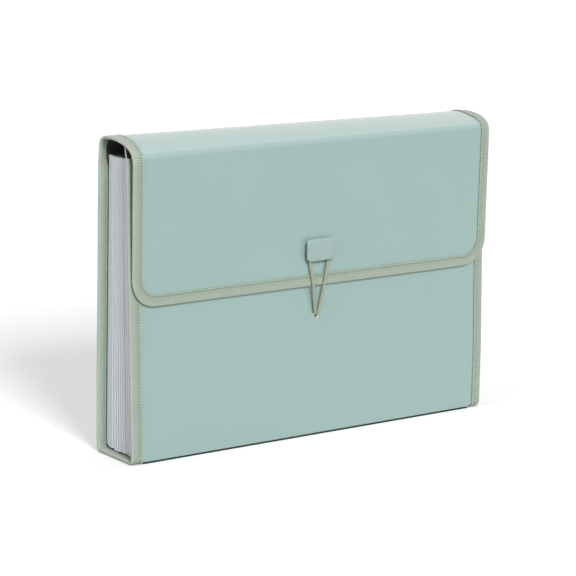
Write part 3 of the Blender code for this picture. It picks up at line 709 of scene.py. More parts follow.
def shellMesh(name, outer, inner, materials, marks=None, skip=()):
    # a thin sheet from the grids of its two faces; skip lists the grid cells of a window
    rows, cols = outer.shape[:2]
    cells = {(r, c) for r in range(rows - 1) for c in range(cols - 1)} - set(skip)
    faces = []

    def corners(places):
        return [(face * rows + r) * cols + c for r, c, face in places]

    for r, c in sorted(cells):
        for face in (0, 1):
            faces.append(corners(((r, c, face), (r, c + 1, face), (r + 1, c + 1, face), (r + 1, c, face))))
        for nextRow, nextCol, a, b in ((r - 1, c, (r, c), (r, c + 1)), (r + 1, c, (r + 1, c), (r + 1, c + 1)),
                                       (r, c - 1, (r, c), (r + 1, c)), (r, c + 1, (r, c + 1), (r + 1, c + 1))):
            if (nextRow, nextCol) not in cells:
                faces.append(corners(((*a, 0), (*b, 0), (*b, 1), (*a, 1))))
    points = np.concatenate([outer.reshape(-1, 3), inner.reshape(-1, 3)])
    return makeObject(name, points, faces, materials, marks=None if marks is None else np.tile(marks.reshape(-1), 2))


def ringFaces(count, size, around=False):
    # faces between rings of points, with two caps, or with the last ring joined to the first
    faces = []
    for r in range(count if around else count - 1):
        a, b = r * size, (r + 1) % count * size
        faces += [[a + i, a + (i + 1) % size, b + (i + 1) % size, b + i] for i in range(size)]
    if not around:
        faces += [list(range(size)), list(range((count - 1) * size, count * size))[::-1]]
    return faces


def disc(radius, count=32):
    angles = [2 * math.pi * k / count for k in range(count)]
    return [(radius * math.cos(a), radius * math.sin(a)) for a in angles]


def drillHole(piece, centre, way, radius, depth=8):
    # a round hole through a sheet; the result replaces the mesh
    bpy.ops.mesh.primitive_cylinder_add(vertices=32, radius=radius * mm, depth=depth * mm,
                                        location=toMetres([centre])[0])
    drill = bpy.context.object
    drill.rotation_euler = Vector(way).to_track_quat("Z", "Y").to_euler()
    cut = piece.modifiers.new("hole", "BOOLEAN")
    cut.operation, cut.solver, cut.object = "DIFFERENCE", "EXACT", drill
    graph = bpy.context.evaluated_depsgraph_get()
    mesh = bpy.data.meshes.new_from_object(piece.evaluated_get(graph))
    piece.modifiers.clear()
    piece.data = mesh
    bpy.data.objects.remove(drill)


def joinOver(bodies, pivot, way, before, after):
    # blend across a hinge: from before the pivot to after it along way, all in millimetres
    pivot, way = np.array([0, *pivot]), unit([0, *way])
    start, end = tuple((pivot - way * before) * mm), tuple((pivot + way * after) * mm)
    return lambda piece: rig.blend(piece, bodies[0], bodies[1], start, end)


bindRear = joinOver(("back", "lid"), backCrease, (-1, 1), 3.5, 3.5)
bindFront = joinOver(("lid", "flap"), flapCrease, (-1, -1), 3.5, 3.5)
bindFoot = joinOver(("back", "front"), frontHinge, (-1, 1), 5.0, 1.5)


def rideOn(body):
    return lambda piece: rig.ride(piece, body)


def settle(piece, slot, bind, *nodes):
    # a piece's finish, what carries it and the CAD nodes that it stands for
    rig.slot(piece, slot)
    bind(piece)
    if nodes:
        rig.replaces(piece, *nodes)


# Cover sheets: four pieces that meet end to end, each blended over the crease it crosses
cover = {
    "edgeColumns": (162.5, 160.5, 158, 156, 154, 152, 150, 148, 145, 142, 138, 132),
    "middleColumns": range(-120, 121, 12),
    "depths": (skin - folder["sheet"] / 2, skin + folder["sheet"] / 2),
    # the pale lines of the creases, stretched and partly a painted highlight, the last one reaching over the band as a
    # painted sheen: place in the section, strength, reach before and after
    "creaseLines": ((zoneEnds["back"] + 8.5, 0.4, 3.0, 3.0), (zoneEnds["lid"] + 14, 1.0, 2.0, 2.5),
                    (zoneEnds["lid"] + 19, 0.3, 4.0, 9.0)),
    # painted sheen: the lid between them is painted a little paler than the panels
    "lidPlaces": (zoneEnds["back"] + 9, zoneEnds["back"] + 16, zoneEnds["lid"] + 11, zoneEnds["lid"] + 14),
    "lidPaintedSheen": (0, 0.25, 0.2, 0),
    "buttonHole": 2.8,
    "eyeletHole": 2.32,
}
columns = np.array(sorted({side * d for side in (-1, 1) for d in (sheetHalf, *cover["edgeColumns"])}
                          | set(cover["middleColumns"])))


def creaseAndSheenMarks(low, high):
    # pale marks: crease lines, partly stretched and partly a painted highlight, over a painted sheen on the lid
    sharpness = 1 - np.interp(columns, lidShape["roundX"], lidShape["roundShare"])
    marks = []
    for p in range(low, high + 1):
        row = np.full(len(columns), np.interp(p, cover["lidPlaces"], cover["lidPaintedSheen"]))
        for place, strength, before, after in cover["creaseLines"]:
            fade = max(0.0, 1 - abs(p - place) / (before if p < place else after))
            row = np.maximum(row, strength * fade * sharpness)
        marks.append(row)
    return np.array(marks)


def coverSheet(name, section, low, high, marks=None):
    grids = [np.array([[onSection(section, x, p, depth) for x in columns] for p in range(low, high + 1)])
             for depth in cover["depths"]]
    return shellMesh(name, *grids, [mintSheet], marks)


def flapSheet():
    # over the front crease and down the flap, with round lower corners
    end = flapLength - skin
    corner = folder["flapCorner"] - skin
    straight = range(frontCut, zoneEnds["frontCrease"] + 1)
    vs = list(np.linspace(lidShape["frontBelow"], end - corner, 10))[1:]
    vs += [end - corner + corner * math.sin(a) for a in np.linspace(0, math.pi / 2 - 0.06, 12)[1:]] + [end]
    grids = []
    for depth in cover["depths"]:
        grid = [[onSection(sectionAt, x, p, depth) for x in columns] for p in straight]
        for v in vs:
            over = max(0.0, v - end + corner)
            half = sheetHalf - corner + math.sqrt(max(0.0, corner * corner - over * over))
            faces = [(x, flapPoint(x, v)) for x in columns * half / sheetHalf]
            grid.append([np.array([x + edgeShift(x, *face), *(face - flapOut * depth)]) for x, face in faces])
        grids.append(np.array(grid))
    marks = np.zeros(grids[0].shape[:2])
    marks[:len(straight)] = creaseAndSheenMarks(frontCut, zoneEnds["frontCrease"])
    return shellMesh("flapSheet", *grids, [mintSheet], marks)


settle(coverSheet("sheetBack", sectionAt, 0, rearCut), "mint_sheet", rideOn("back"), "back_cover", "base_panel")
settle(coverSheet("sheetLid", sectionAt, rearCut, frontCut, creaseAndSheenMarks(rearCut, frontCut)), "mint_sheet", bindRear,
       "top_panel")
sheetFlap = flapSheet()
buttonV = (folder["buttonHeight"] - flapCrease[1]) / flapDown[1]
buttonPlace = flapCrease + flapDown * buttonV
drillHole(sheetFlap, (folder["closure"], *buttonPlace), (0, *flapOut), cover["buttonHole"])
settle(sheetFlap, "mint_sheet", bindFront, "flap")
sheetFront = coverSheet("sheetFront", frontSectionAt, 0, frontLast)
eyeletV = (folder["eyeletHeight"] - frontFoot[1]) / frontUp[1]
eyeletPlace = frontFoot + frontUp * eyeletV
drillHole(sheetFront, (folder["closure"], *eyeletPlace), (0, *frontOut), cover["eyeletHole"])
settle(sheetFront, "mint_sheet", bindFoot, "front_cover")
print("cover sheets made")


# Edge tapes: a woven tape folded round each edge of the sheet and sewn through
tapeSizes = {
    "left": 9.9,              # the visible leg's width, fold included
    "right": 8.3,
    "bottom": 9.2,
    "inner": (7.4, 5.3),      # the leg inside, beside the gussets and above them
    "innerHeights": (220, 230),
    "lift": 0.3,              # how far the sewn edge stands off the sheet
    "uneven": 0.05,
    "seam": 0.7,              # the seam, from the tape's inner edge
    "seamLevels": (1.34, -1.16),
    "stitchPitch": 2.6,
    "stitch": (1.25, 0.4),    # length and radius
    "uprightStitch": (2.1, 0.3),   # down the sides, where the seam was pulled tight
    # along a stitch: how far, how thick and how high above the tape
    "stitchSpine": ((0, 0.35, -0.25), (0.12, 0.8, -0.05), (0.35, 1, 0.05), (0.65, 1, 0.05), (0.88, 0.8, -0.05),
                    (1.0, 0.35, -0.25)),
    "step": 3.0,              # between the tape's stations
    "crest": 14,              # the contour's point that measures the tape's length
    # stations of the flap's tape: down a side, round a corner and along the lower edge
    "flapSteps": (30, 15, 96),
}


def tapeContour(width, inner):
    # the closed outline of the folded tape: distance in from the fold, and level from the
    # sheet's middle; then how far across the tape each point is, for the weave
    lift = tapeSizes["lift"]
    upper = [(width - 1.0, 0.44), (width, 0.5 + lift), (width + 0.02, 0.78 + lift), (width - 0.14, 0.98 + lift),
             (width - 0.5, 1.07 + lift), (width - 1.0, 1.0 + lift), (width - 1.5, 1.12), (width - 2.1, 0.94),
             (width - 2.75, 0.98), (width - 3.3, 1.16), (width - 4.1, 1.24), (width - 5.2, 1.3),
             (3.6, 1.36), (2.6, 1.36), (1.9, 1.33)]
    fold = [(1.3 - 1.32 * math.sin(t), 1.32 * math.cos(t)) for t in np.linspace(0.0, math.pi, 11)]
    lower = [(1.9, -1.3), (inner - 2.9, -1.3), (inner - 2.3, -1.2), (inner - 1.8, -1.0), (inner - 1.2, -1.15),
             (inner - 0.5, -1.2), (inner, -1.0), (inner, -0.44)]
    inside = [(1.7, -0.44), (1.0, -0.3), (0.75, 0), (1.0, 0.3), (1.7, 0.44)]
    contour = upper + fold + lower + inside
    across = [min(1.0, a / (width if level > 0 else inner)) for a, level in contour]
    return contour, across


def sweepTape(name, stations, material):
    # stations place a contour point in space; rings are joined and both ends closed
    rings, weave = [], []
    for place, width, inner in stations:
        contour, across = tapeContour(width, inner)
        rings.append([place(a, level) for a, level in contour])
        weave.append(across)
    run = lengths(np.array([ring[tapeSizes["crest"]] for ring in rings])) * mm
    uvs = [(u, v) for across, v in zip(weave, run) for u in across]
    faces = ringFaces(len(rings), len(rings[0]))
    return makeObject(name, np.concatenate(rings), faces, [material], sharp=50, uvs=uvs)


def seamPoints(stations, leg):
    # the line of the seam on the outer or the inner leg, with the way out of the tape
    line = []
    for place, width, inner in stations:
        a, level = (width, tapeSizes["seamLevels"][0]) if leg > 0 else (inner, tapeSizes["seamLevels"][1])
        p = place(a - tapeSizes["seam"], level)
        line.append((*p, *unit(place(a - tapeSizes["seam"], level + leg) - p)))
    return np.array(line)


def makeStitches(name, seams):
    # each stitch is a short rounded thread that dips into the tape at both ends
    size = tapeSizes
    places, shares, dips = zip(*size["stitchSpine"])
    ring = disc(1.0, 6)
    oneStitch = ringFaces(len(places), len(ring))
    points, faces = [], []
    for line in seams:
        run = lengths(line[:, :3])
        for k in range(int((run[-1] - 1.0) / size["stitchPitch"])):
            start = 0.8 + k * size["stitchPitch"]
            rise = np.interp(start + 1, run, line[:, 2]) - np.interp(start, run, line[:, 2])
            length, radius = size["uprightStitch"] if abs(rise) > 0.9 else size["stitch"]
            spine = alongLine(line, run, np.array(places) * length + start)
            out = unit(spine[2, 3:])
            side = np.cross(unit(spine[-1, :3] - spine[0, :3]), out)
            faces += [[len(points) + i for i in face] for face in oneStitch]
            for q, share, dip in zip(spine[:, :3], shares, dips):
                points += [q + out * dip + (side * x + out * y) * radius * share for x, y in ring]
    return makeObject(name, points, faces, [sageThread], sharp=80)


def sideStation(section, side, p, width):
    # a station at one end of the cover; the inner leg narrows above the gusset
    def place(a, level):
        return onSection(section, side * (folder["half"] - a), p, skin - level)
    return place, width, float(np.interp(place(5, 0)[2], tapeSizes["innerHeights"], tapeSizes["inner"]))


def sideStations(section, side, low, high, width):
    # stations along one end of the cover, about a step apart, at least one for each point of a bend
    points, normals = section(side * (folder["half"] - 5))
    stations = []
    edge = random.Random(int(low * 10 + side + 50))
    for p in range(low, high):
        pieces = max(1, round(float(np.linalg.norm(points[p + 1] - points[p])) / tapeSizes["step"]))
        for k in range(pieces):
            uneven = edge.uniform(-tapeSizes["uneven"], tapeSizes["uneven"])
            stations.append(sideStation(section, side, p + k / pieces, width + uneven))
    return stations + [sideStation(section, side, high, width)]


def flapStation(x, v, wayX, wayV):
    def place(a, level):
        px, pv = x + wayX * (a - skin), v + wayV * (a - skin)
        face = flapPoint(px, pv)
        return np.array([px + edgeShift(px, *face), *(face + flapOut * (level - skin))])
    return place


def flapStations():
    # down the left side, round both lower corners and up the right side
    size = tapeSizes
    end, corner = flapLength - skin, folder["flapCorner"] - skin
    sideSteps, cornerSteps, edgeSteps = size["flapSteps"]

    def downSide(side, width):
        straight = np.linspace(lidShape["frontBelow"], end - corner, sideSteps)[:-1]
        line = [(side * sheetHalf, v, -side, 0, width) for v in straight]
        for t in np.linspace(0, math.pi / 2, cornerSteps):
            line.append((side * (sheetHalf - corner + corner * math.cos(t)), end - corner + corner * math.sin(t),
                         -side * math.cos(t), -math.sin(t), width + (size["bottom"] - width) * t / (math.pi / 2)))
        return line

    left = sideStations(sectionAt, -1, frontCut, zoneEnds["frontCrease"], size["left"])[:-1]
    right = sideStations(sectionAt, 1, frontCut, zoneEnds["frontCrease"], size["right"])[:-1]
    middle = downSide(-1, size["left"])
    middle += [(x, end, 0, -1, size["bottom"])
               for x in np.linspace(-sheetHalf + corner, sheetHalf - corner, edgeSteps)[1:-1]]
    middle += downSide(1, size["right"])[::-1]
    edge = random.Random(5)
    made = [(flapStation(x, v, wayX, wayV), width + edge.uniform(-size["uneven"], size["uneven"]), size["inner"][1])
            for x, v, wayX, wayV, width in middle]
    return left + made + right[::-1]


def addTape(name, stations, nodes, bind, material):
    settle(sweepTape(name, stations, material), "sage_tape", bind, *nodes)
    settle(makeStitches(name + "Stitches", [seamPoints(stations, 1), seamPoints(stations, -1)]), "sage_tape", bind)


for side, label in ((-1, "left"), (1, "right")):
    title = label.capitalize()
    width = tapeSizes[label]
    addTape("bodyTape" + title, sideStations(sectionAt, side, 0, rearCut, width),
            ["back_binding_" + label, "base_binding_" + label], rideOn("back"), ribbedTape)
    addTape("frontTape" + title, sideStations(frontSectionAt, side, 0, frontLast, width),
            ["front_binding_" + label], bindFoot, ribbedTape)
    addTape("lidTape" + title, sideStations(sectionAt, side, rearCut, frontCut, width),
            ["top_binding_" + label], bindRear, sageTape)
addTape("flapTape", flapStations(), ["flap_binding"], bindFront, sageTape)
print("tapes made")


# Pocket insert: pleated film at both ends and below, black dividers, liner and front wall
insert = {
    "pockets": 13,
    "linerDepth": 2.25,       # rear liner's middle, in from the tape's face
    "frontDepth": 3.15,
    "low": 3.0,
    "foot": 6.6,              # the walls' lower edge
    "top": 229.7,
    "outer": 159.8,           # the pleats' outer and inner folds
    "inner": 154.6,
    "film": 0.4,
    "steps": 20,              # points over a pleat
    "footHeights": (5, 8, 14, 22, 32, 44),
    "heights": (58, 215, 12), # the rows between foot and top: from, to and how many
    "topHeights": (219, 4),
    "fullness": (4, 9, 110),  # at the foot, how much it grows and by what height
    "liftAbove": 216,         # the folds' ends are uneven above and below these heights
    "dropBelow": 12,
    "gather": 0.05,           # how far the film draws in below the walls
    "crown": 0.35,            # how far a pleat's outer fold is domed
    "welds": (0.95, 0.5),     # from the rear and the front wall to the film's edges
    "fallBack": (2.5, 0.8),   # the first and the last pleats stand back from the others
    "mark": 0.5,              # paleness of the outer folds
    "floorHalf": 154.2,
    "floorSteps": 12,
    "floorLow": 2.6,
    "floorHigh": 6.1,
}


def wallY(index, height):
    share = (height - folder["baseBend"]) / (folder["creaseHeight"] - folder["baseBend"])
    rear = folder["backLean"] * share + insert["linerDepth"]
    front = folder["baseDepth"] - folder["frontLean"] * share - insert["frontDepth"]
    return rearFace - (rear + (front - rear) * index / insert["pockets"])


def pleatWave(share, fullness):
    # 0 at the walls, 1 at the folds between them; the fuller, the broader the outer folds
    return 1 - abs(math.cos(math.pi * share)) ** fullness


def pleatShares(steps):
    # for each point over the pleats: which pocket, and how far through it
    last = insert["pockets"] - 1
    return [(min(i // steps, last), i / steps - min(i // steps, last)) for i in range(insert["pockets"] * steps + 1)]


def gusset(name, side):
    low, top, foot, pockets, drop = (insert[key] for key in ("low", "top", "foot", "pockets", "dropBelow"))
    topRow, topCount = insert["topHeights"]
    rows = np.concatenate([[low, *insert["footHeights"]], np.linspace(*insert["heights"]),
                           np.linspace(topRow, top, topCount)])
    full, fuller, fullHeight = insert["fullness"]
    wobble = random.Random(31 + side)
    first, last = insert["fallBack"]
    reach = [wobble.uniform(-0.3, 0.15) - first * max(0.0, 1 - (k + 0.5) / 4) ** 1.4 - last * max(0.0, (k - 9) / 3) ** 2
             for k in range(pockets)]
    sway = [(wobble.uniform(0, 6.3), wobble.uniform(0.1, 0.3)) for k in range(pockets)]
    tops = [wobble.uniform(-0.7, 0.4) for k in range(pockets)]
    feet = [wobble.uniform(0.3, 2.2) for k in range(pockets)]
    middles = []
    for z in rows:
        line = []
        for pocket, share in pleatShares(insert["steps"]):
            fold = pleatWave(share, full + fuller * min(1.0, z / fullHeight))
            rear = wallY(pocket, z) - (insert["welds"][0] if pocket == 0 else 0)
            front = wallY(pocket + 1, z) + (insert["welds"][1] if pocket == pockets - 1 else 0)
            phase, size = sway[pocket]
            drift = size * math.sin(z / 45 + phase) * math.sin(math.pi * (z - low) / (top - low))
            domed = insert["crown"] * (2 * share - 1) ** 2
            x = insert["inner"] + (insert["outer"] - insert["inner"] + reach[pocket] * fold - domed) * fold
            y = rear + (front - rear) * share + drift * fold * 0.6
            if z < foot:
                y += (wallY(pockets / 2, z) - y) * insert["gather"] * (foot - z) / (foot - low)
            lift = tops[pocket] * fold if z > insert["liftAbove"] else 0.0
            if z < drop:
                lift = feet[pocket] * fold * (drop - z) / (drop - low)
            line.append([side * x, y, z + lift])
        middles.append(line)
    middles = np.array(middles)
    # offset both faces by half the film, square to the line of each pleat
    way = np.gradient(middles[:, :, :2], axis=1)
    way /= np.linalg.norm(way, axis=2)[:, :, None]
    offset = np.dstack([-way[:, :, 1], way[:, :, 0], np.zeros(way.shape[:2])]) * insert["film"] / 2
    line = [insert["mark"] * math.sin(math.pi * share) ** 2 for pocket, share in pleatShares(insert["steps"])]
    return shellMesh(name, middles + offset, middles - offset, [frostedSheet], np.array([line] * len(rows)))


def insertFloor():
    line = []
    for pocket, share in pleatShares(insert["floorSteps"]):
        rear, front = wallY(pocket, insert["foot"]), wallY(pocket + 1, insert["foot"])
        z = insert["floorHigh"] + (insert["floorLow"] - insert["floorHigh"]) * pleatWave(share, 2)
        line.append((rear + (front - rear) * share, z))
    rows = np.array([[(x, *p) for p in line] for x in np.linspace(-insert["floorHalf"], insert["floorHalf"], 12)])
    lift = np.array([0, 0, insert["film"] / 2])
    return shellMesh("insertFloor", rows + lift, rows - lift, [frostedSheet])


def fanOut(height):
    # the pleats spread with the walls: nothing at the rear wall, all at the front wall
    rear, front = (np.array([wallY(index, height), height]) for index in (0, insert["pockets"]))
    middle = insert["pockets"] / 2
    lean = math.atan2(wallY(middle, insert["foot"]) - wallY(middle, height), max(1.0, height - insert["foot"]))
    way = np.array([-math.cos(lean), -math.sin(lean)])
    return joinOver(("back", "front"), rear, way, 0, float((front - rear) @ way))


for side, label in ((-1, "left"), (1, "right")):
    settle(gusset("gusset" + label.capitalize(), side), "frosted_sheet", fanOut(insert["top"]), "gusset_" + label)
settle(insertFloor(), "frosted_sheet", fanOut(insert["foot"]), "insert_floor")

# The front wall is a black sheet with pale welded edges; its top leans back under the lid
wall = {
    "half": 163.5,
    "rim": 162.8,             # the welded edge begins here
    "columns": (-150, -120, -90, -60, -30, -6, 10, 30, 60, 90, 120, 150),
    "heights": (6.6, 30, 60, 90, 101, 130, 160, 190, 215, 226, 230, 233, 236, 238, 239.6),
    "leanFrom": 226,
    "lean": 2.4,
    "drop": 0.9,              # how much lower its right end is
    "thick": 0.5,
    "window": (3, 7),         # the grid cell that is open for the stop
}


def frontWall():
    half, rim, high = wall["half"], wall["rim"], wall["heights"][-1]
    grid = []
    for z in wall["heights"]:
        over = max(0.0, (z - wall["leanFrom"]) / (high - wall["leanFrom"]))
        grid.append([[x, wallY(insert["pockets"], z) + wall["lean"] * over ** 1.6,
                      z - wall["drop"] * (x + half) / (2 * half) * over]
                     for x in (-half, -rim, *wall["columns"], rim, half)])
    grid, shift = np.array(grid), np.array([0, wall["thick"] / 2, 0])
    piece = shellMesh("frontWall", grid + shift, grid - shift, [blackSheet, frostedSheet], skip=[wall["window"]])
    for face in piece.data.polygons:
        face.material_index = int(abs(face.center.x) > rim * mm)
    return piece


settle(frontWall(), "frosted_sheet", rideOn("front"), "front_wall")

# The black liner goes up the back and on under the lid, over the inside of the rear crease. It
# is wider where the gussets have ended
liner = {
    "depths": (2.6, 2.9),
    "heights": (218, 227),
    "halves": (157.0, 159.3),
}


def rearLining():
    places = range(zoneEnds["rearBend"] + 1, zoneEnds["rearCrease"] + 3)
    halves = np.interp([sectionAt(0)[0][p][1] for p in places], liner["heights"], liner["halves"])
    grids = [np.array([[onSection(sectionAt, half * s, p, depth) for s in np.linspace(-1, 1, 30)]
                       for p, half in zip(places, halves)]) for depth in liner["depths"]]
    return shellMesh("rearLining", *grids, [blackSheet])


settle(rearLining(), "black_sheet", bindRear, "rear_liner")
for k in range(1, insert["pockets"]):
    for nodeName, material in ((f"divider_{k:02d}", blackSheet), (f"index_tab_{k:02d}", whiteCard)):
        materials = frame["nodes"][nodeName].data.materials
        materials.clear()
        materials.append(material)
print("insert made")


# Closure: button, backplate, eyelet, stop and elastic loop. Plates are width, height and corner
closure = {
    "head": (26.0, 17.4, 3.6), "headThick": 2.5, "headEdge": 1.0, "headCrown": 0.3,
    "neck": (16.0, 9.0, 4.0), "neckLength": 3.1,
    "plate": (19.0, 12.0, 3.0), "plateThick": 1.0,
    "post": 2.5,
    "stop": (10.0, 5.0, 1.0), "stopThick": 1.6, "stopEdge": 0.4, "stopCrown": 0.05,
    "clearance": 0.3,
    "bore": 1.67, "barrel": 2.02, "flange": 2.47,
    "cord": 2.4,
    "squeeze": 0.55,
    "strandGap": 0.3,
}


def panelFrame(origin, up, outward):
    # x across, y up the panel, z out of it
    return np.array([folder["closure"], *origin]), np.array([[1.0, 0, 0], [0, *up], [0, *outward]])


flapFrame = panelFrame(buttonPlace, -flapDown, flapOut)
frontFrame = panelFrame(eyeletPlace, frontUp, frontOut)


def inFrame(place, x, y, z):
    return place[0] + np.array([x, y, z]) @ place[1]


def roundedRing(width, height, corner, inset, count=6):
    ring = []
    w, h = width / 2 - inset, height / 2 - inset
    r = max(0.15, corner - inset)
    for sx, sy, quarter in ((1, 1, 0), (-1, 1, 1), (-1, -1, 2), (1, -1, 3)):
        for k in range(count + 1):
            angle = (quarter + k / count) * math.pi / 2
            ring.append((sx * (w - r) + r * math.cos(angle), sy * (h - r) + r * math.sin(angle)))
    return ring


def loftRings(name, place, rings, material):
    # rings are (outline, level out of the panel); the first and last are closed
    points = [inFrame(place, x, y, level) for outline, level in rings for x, y in outline]
    return makeObject(name, points, ringFaces(len(rings), len(rings[0][0])), [material], sharp=40)


def softPlate(outline, low, high, edge, crown, tight=0.25):
    # a plate with a tight lower edge, a round upper one and a slightly crowned face
    rings = [(roundedRing(*outline, inset), level) for inset, level in ((2.2, low), (tight, low), (0, low + tight))]
    for t in np.linspace(0, math.pi / 2, 7):
        rings.append((roundedRing(*outline, edge * (1 - math.cos(t))), high - crown - edge + edge * math.sin(t)))
    deepest = min(outline[:2]) / 2 - 0.6
    for share in (0.25, 0.5, 0.75, 1.0):
        rings.append((roundedRing(*outline, edge + (deepest - edge) * share),
                      high - crown + crown * math.sin(share * math.pi / 2)))
    return rings


def turned(name, place, profile, material, count=40):
    # a ring turned from (radius, level) points
    points = [inFrame(place, radius * x, radius * y, level) for x, y in disc(1.0, count) for radius, level in profile]
    return makeObject(name, points, ringFaces(count, len(profile), around=True), [material], sharp=50)


sheetFace, sheetRear = folder["sheet"] / 2 - skin, -skin - folder["sheet"] / 2   # below the tape's face
neckTop = sheetFace + closure["clearance"] + closure["neckLength"]
head = softPlate(closure["head"], neckTop, neckTop + closure["headThick"], closure["headEdge"], closure["headCrown"])
settle(loftRings("button", flapFrame, head, buttonPlastic), "button_plastic", rideOn("flap"), "closure_button")
neck = [(roundedRing(*closure["neck"], inset), level) for inset, level in
        ((0.3, sheetFace + 0.02), (0, sheetFace + 0.25), (0.12, sheetFace + 0.9), (0.12, neckTop - 0.9),
         (0, neckTop - 0.4), (-0.3, neckTop + 0.05))]
settle(loftRings("buttonNeck", flapFrame, neck, buttonPlastic), "button_plastic", rideOn("flap"))
post = [(disc(closure["post"] - 0.4), sheetRear - 1.55), (disc(closure["post"]), sheetRear - 1.35),
        (disc(closure["post"]), sheetFace + 0.1)]
settle(loftRings("buttonPost", flapFrame, post, buttonPlastic), "button_plastic", rideOn("flap"))
plate = [(roundedRing(*closure["plate"], inset), level - closure["plateThick"] + sheetRear - 0.05) for inset, level in
         ((0.45, 0), (0.12, 0.12), (0, 0.4), (0, 0.9), (0.15, 1.0))]
settle(loftRings("buttonBackplate", flapFrame, plate, buttonPlastic), "button_plastic", rideOn("flap"),
       "button_backplate")

# The eyelet's front is rolled over, its back is flared: radius, and level from the sheet's middle
bore, barrel, flange = closure["bore"], closure["barrel"], closure["flange"]
profile = [(bore + 0.32 - 0.32 * math.cos(t), 0.88 + 0.32 * math.sin(t)) for t in np.linspace(-0.4, math.pi / 2, 6)]
profile += [(flange - 0.3 + 0.3 * math.sin(t), 0.9 + 0.3 * math.cos(t)) for t in np.linspace(0, math.pi / 2, 5)]
profile += [(flange, 0.5), (flange - 0.12, 0.42), (barrel, 0.42), (barrel, -0.42), (flange - 0.1, -0.44),
            (flange, -0.7), (flange - 0.2, -0.9), (bore + 0.1, -0.9), (bore, -0.7)]
eyelet = turned("cordEyelet", frontFrame, [(radius, level - skin) for radius, level in profile], nickel)
settle(eyelet, "plated_steel", rideOn("front"), "eyelet")
stopHigh = -skin - 0.7 - 0.4 - 2 * closure["clearance"]
stop = softPlate(closure["stop"], stopHigh - closure["stopThick"], stopHigh, closure["stopEdge"], closure["stopCrown"])
settle(loftRings("cordStop", frontFrame, stop, buttonPlastic), "button_plastic", rideOn("front"), "cord_stop")


def onFront(x, v, depth):
    return np.array([folder["closure"] + x, *(frontFoot + frontUp * v - frontOut * depth)])


def onFlap(x, v, depth):
    return np.array([folder["closure"] + x, *(flapCrease + flapDown * v - flapOut * depth)])


def strandRoute(side, rest, under):
    # one strand as part.py runs it: from the stop through the eyelet, over the flap's edge to the neck
    strand = (closure["cord"] * closure["squeeze"] + closure["strandGap"]) / 2
    seat = folder["sheet"] / 2 + closure["clearance"]
    flangeTop = seat + 0.5 + rest
    spread = closure["neck"][0] / 2 + rest
    corner = closure["neck"][2]
    run = folder["buttonHeight"] - folder["eyeletHeight"] - corner
    points = [onFront(side * strand, eyeletV, skin - level) for level in (-seat - 0.4, 0, seat)]
    for upShare, outShare in ((1 / 16, 1 / 3), (1 / 4, 2 / 3), (3 / 5, 14 / 15), (1, 1)):
        up = flange * upShare
        x = strand + (spread - strand) * up / run
        points.append(onFront(side * x, eyeletV + up, skin - (seat + (flangeTop - seat) * outShare)))
    clear = onFront(0, eyeletV + flange, skin - flangeTop)
    edge = onFlap(0, flapLength, -rest)
    neckPlace = onFlap(0, buttonV + corner, under)
    for start, end, shares in ((clear, edge, (1 / 4, 2 / 4, 3 / 4)), (edge, neckPlace, (0, 1 / 4, 2 / 4, 3 / 4))):
        for share in shares:
            p = start + (end - start) * share
            p[0] += side * (strand + (spread - strand) * min(1, (p[2] - folder["eyeletHeight"]) / run))
            points.append(p)
    return points + [onFlap(side * spread, v, under)
                     for v in (buttonV + corner / 2, buttonV - closure["neck"][1] / 2 + corner)]


def makeElastic(sides=14):
    cordSize, corner = closure["cord"], closure["neck"][2]
    rest = cordSize / 2 + closure["clearance"]
    under = -rest + 2 * closure["clearance"]
    over = []
    for side, shares in ((-1, (1 / 3, 2 / 3, 1)), (1, (1, 2 / 3, 1 / 3))):
        for angle in np.array(shares) * math.pi / 2:
            x = side * (closure["neck"][0] / 2 - corner + (corner + rest) * math.cos(angle))
            v = buttonV - closure["neck"][1] / 2 + corner - (corner + rest) * math.sin(angle)
            over.append(onFlap(x, v, under))
    route = smoothRoute(strandRoute(-1, rest, under) + over + strandRoute(1, rest, under)[::-1], 5)
    run = lengths(route)
    points, uvs = [], []
    for p, way, distance in zip(route, np.gradient(route, axis=0), run):
        across = unit(np.cross(way, [0.0, -1.0, 0.05]))
        out = np.cross(across, unit(way))
        share = 1.0
        if p[2] < folder["flapEdge"]:
            room = 2 * abs(p[0] - folder["closure"]) - closure["strandGap"]
            share = max(closure["squeeze"], min(1.0, room / cordSize))
        points += [p + (across * x + out * y) * share for x, y in disc(cordSize / 2, sides)]
        uvs += [(j / sides, distance * mm) for j in range(sides)]
    piece = makeObject("elasticLoop", points, ringFaces(len(route), sides), [sageBraid], sharp=70, uvs=uvs)
    settle(piece, "elastic", rideOn("elastic"), "elastic_loop")
    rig.cord(piece, exit=tuple(route[0] * mm), length=float(run[-1]) * mm, diameter=cordSize * mm, far_end="object",
            stiffness="limp", lay="taut", path=[tuple(p * mm) for p in route])
    print("elastic", round(float(run[-1]), 1), "mm")


makeElastic()
print("closure made")


# Light, floor and backdrop
light = {
    "world": 0.25,
    # suns: where from, strength and how wide in degrees
    "suns": {"key": ((-0.162, -0.848, 0.48), 2.35, 17.0), "top": ((0.1, 0.1, 1.0), 0.65, 35.0),
             "side": ((-1.0, -0.05, 0.1), 1.1, 40.0)},
    "floor": (60, -0.0002),   # size and height in metres
    "paper": "#f8f7f6",
    "bouncePaper": "#b4b3b1",
    "glow": 0.24,
    "contact": 2.5,           # mm, how near an edge the floor's glow fades, a painted contact shade
    # painted shadow: the floor is painted dark under the folder: half width, middle y and half depth in metres
    "footprint": (0.1545, 0.0045, 0.0264),
    "paintedShadow": "#5a625e",
}


def seenDirectly(tree):
    # 1 for rays that show the background: from the camera, off gloss or through glass
    path = addNode(tree, "LightPath").outputs
    seen = addNode(tree, "Math", {"operation": "MAXIMUM", 0: path["Is Camera Ray"], 1: path["Is Glossy Ray"]})
    return addNode(tree, "Math", {"operation": "MAXIMUM", 0: seen, 1: path["Is Transmission Ray"]})


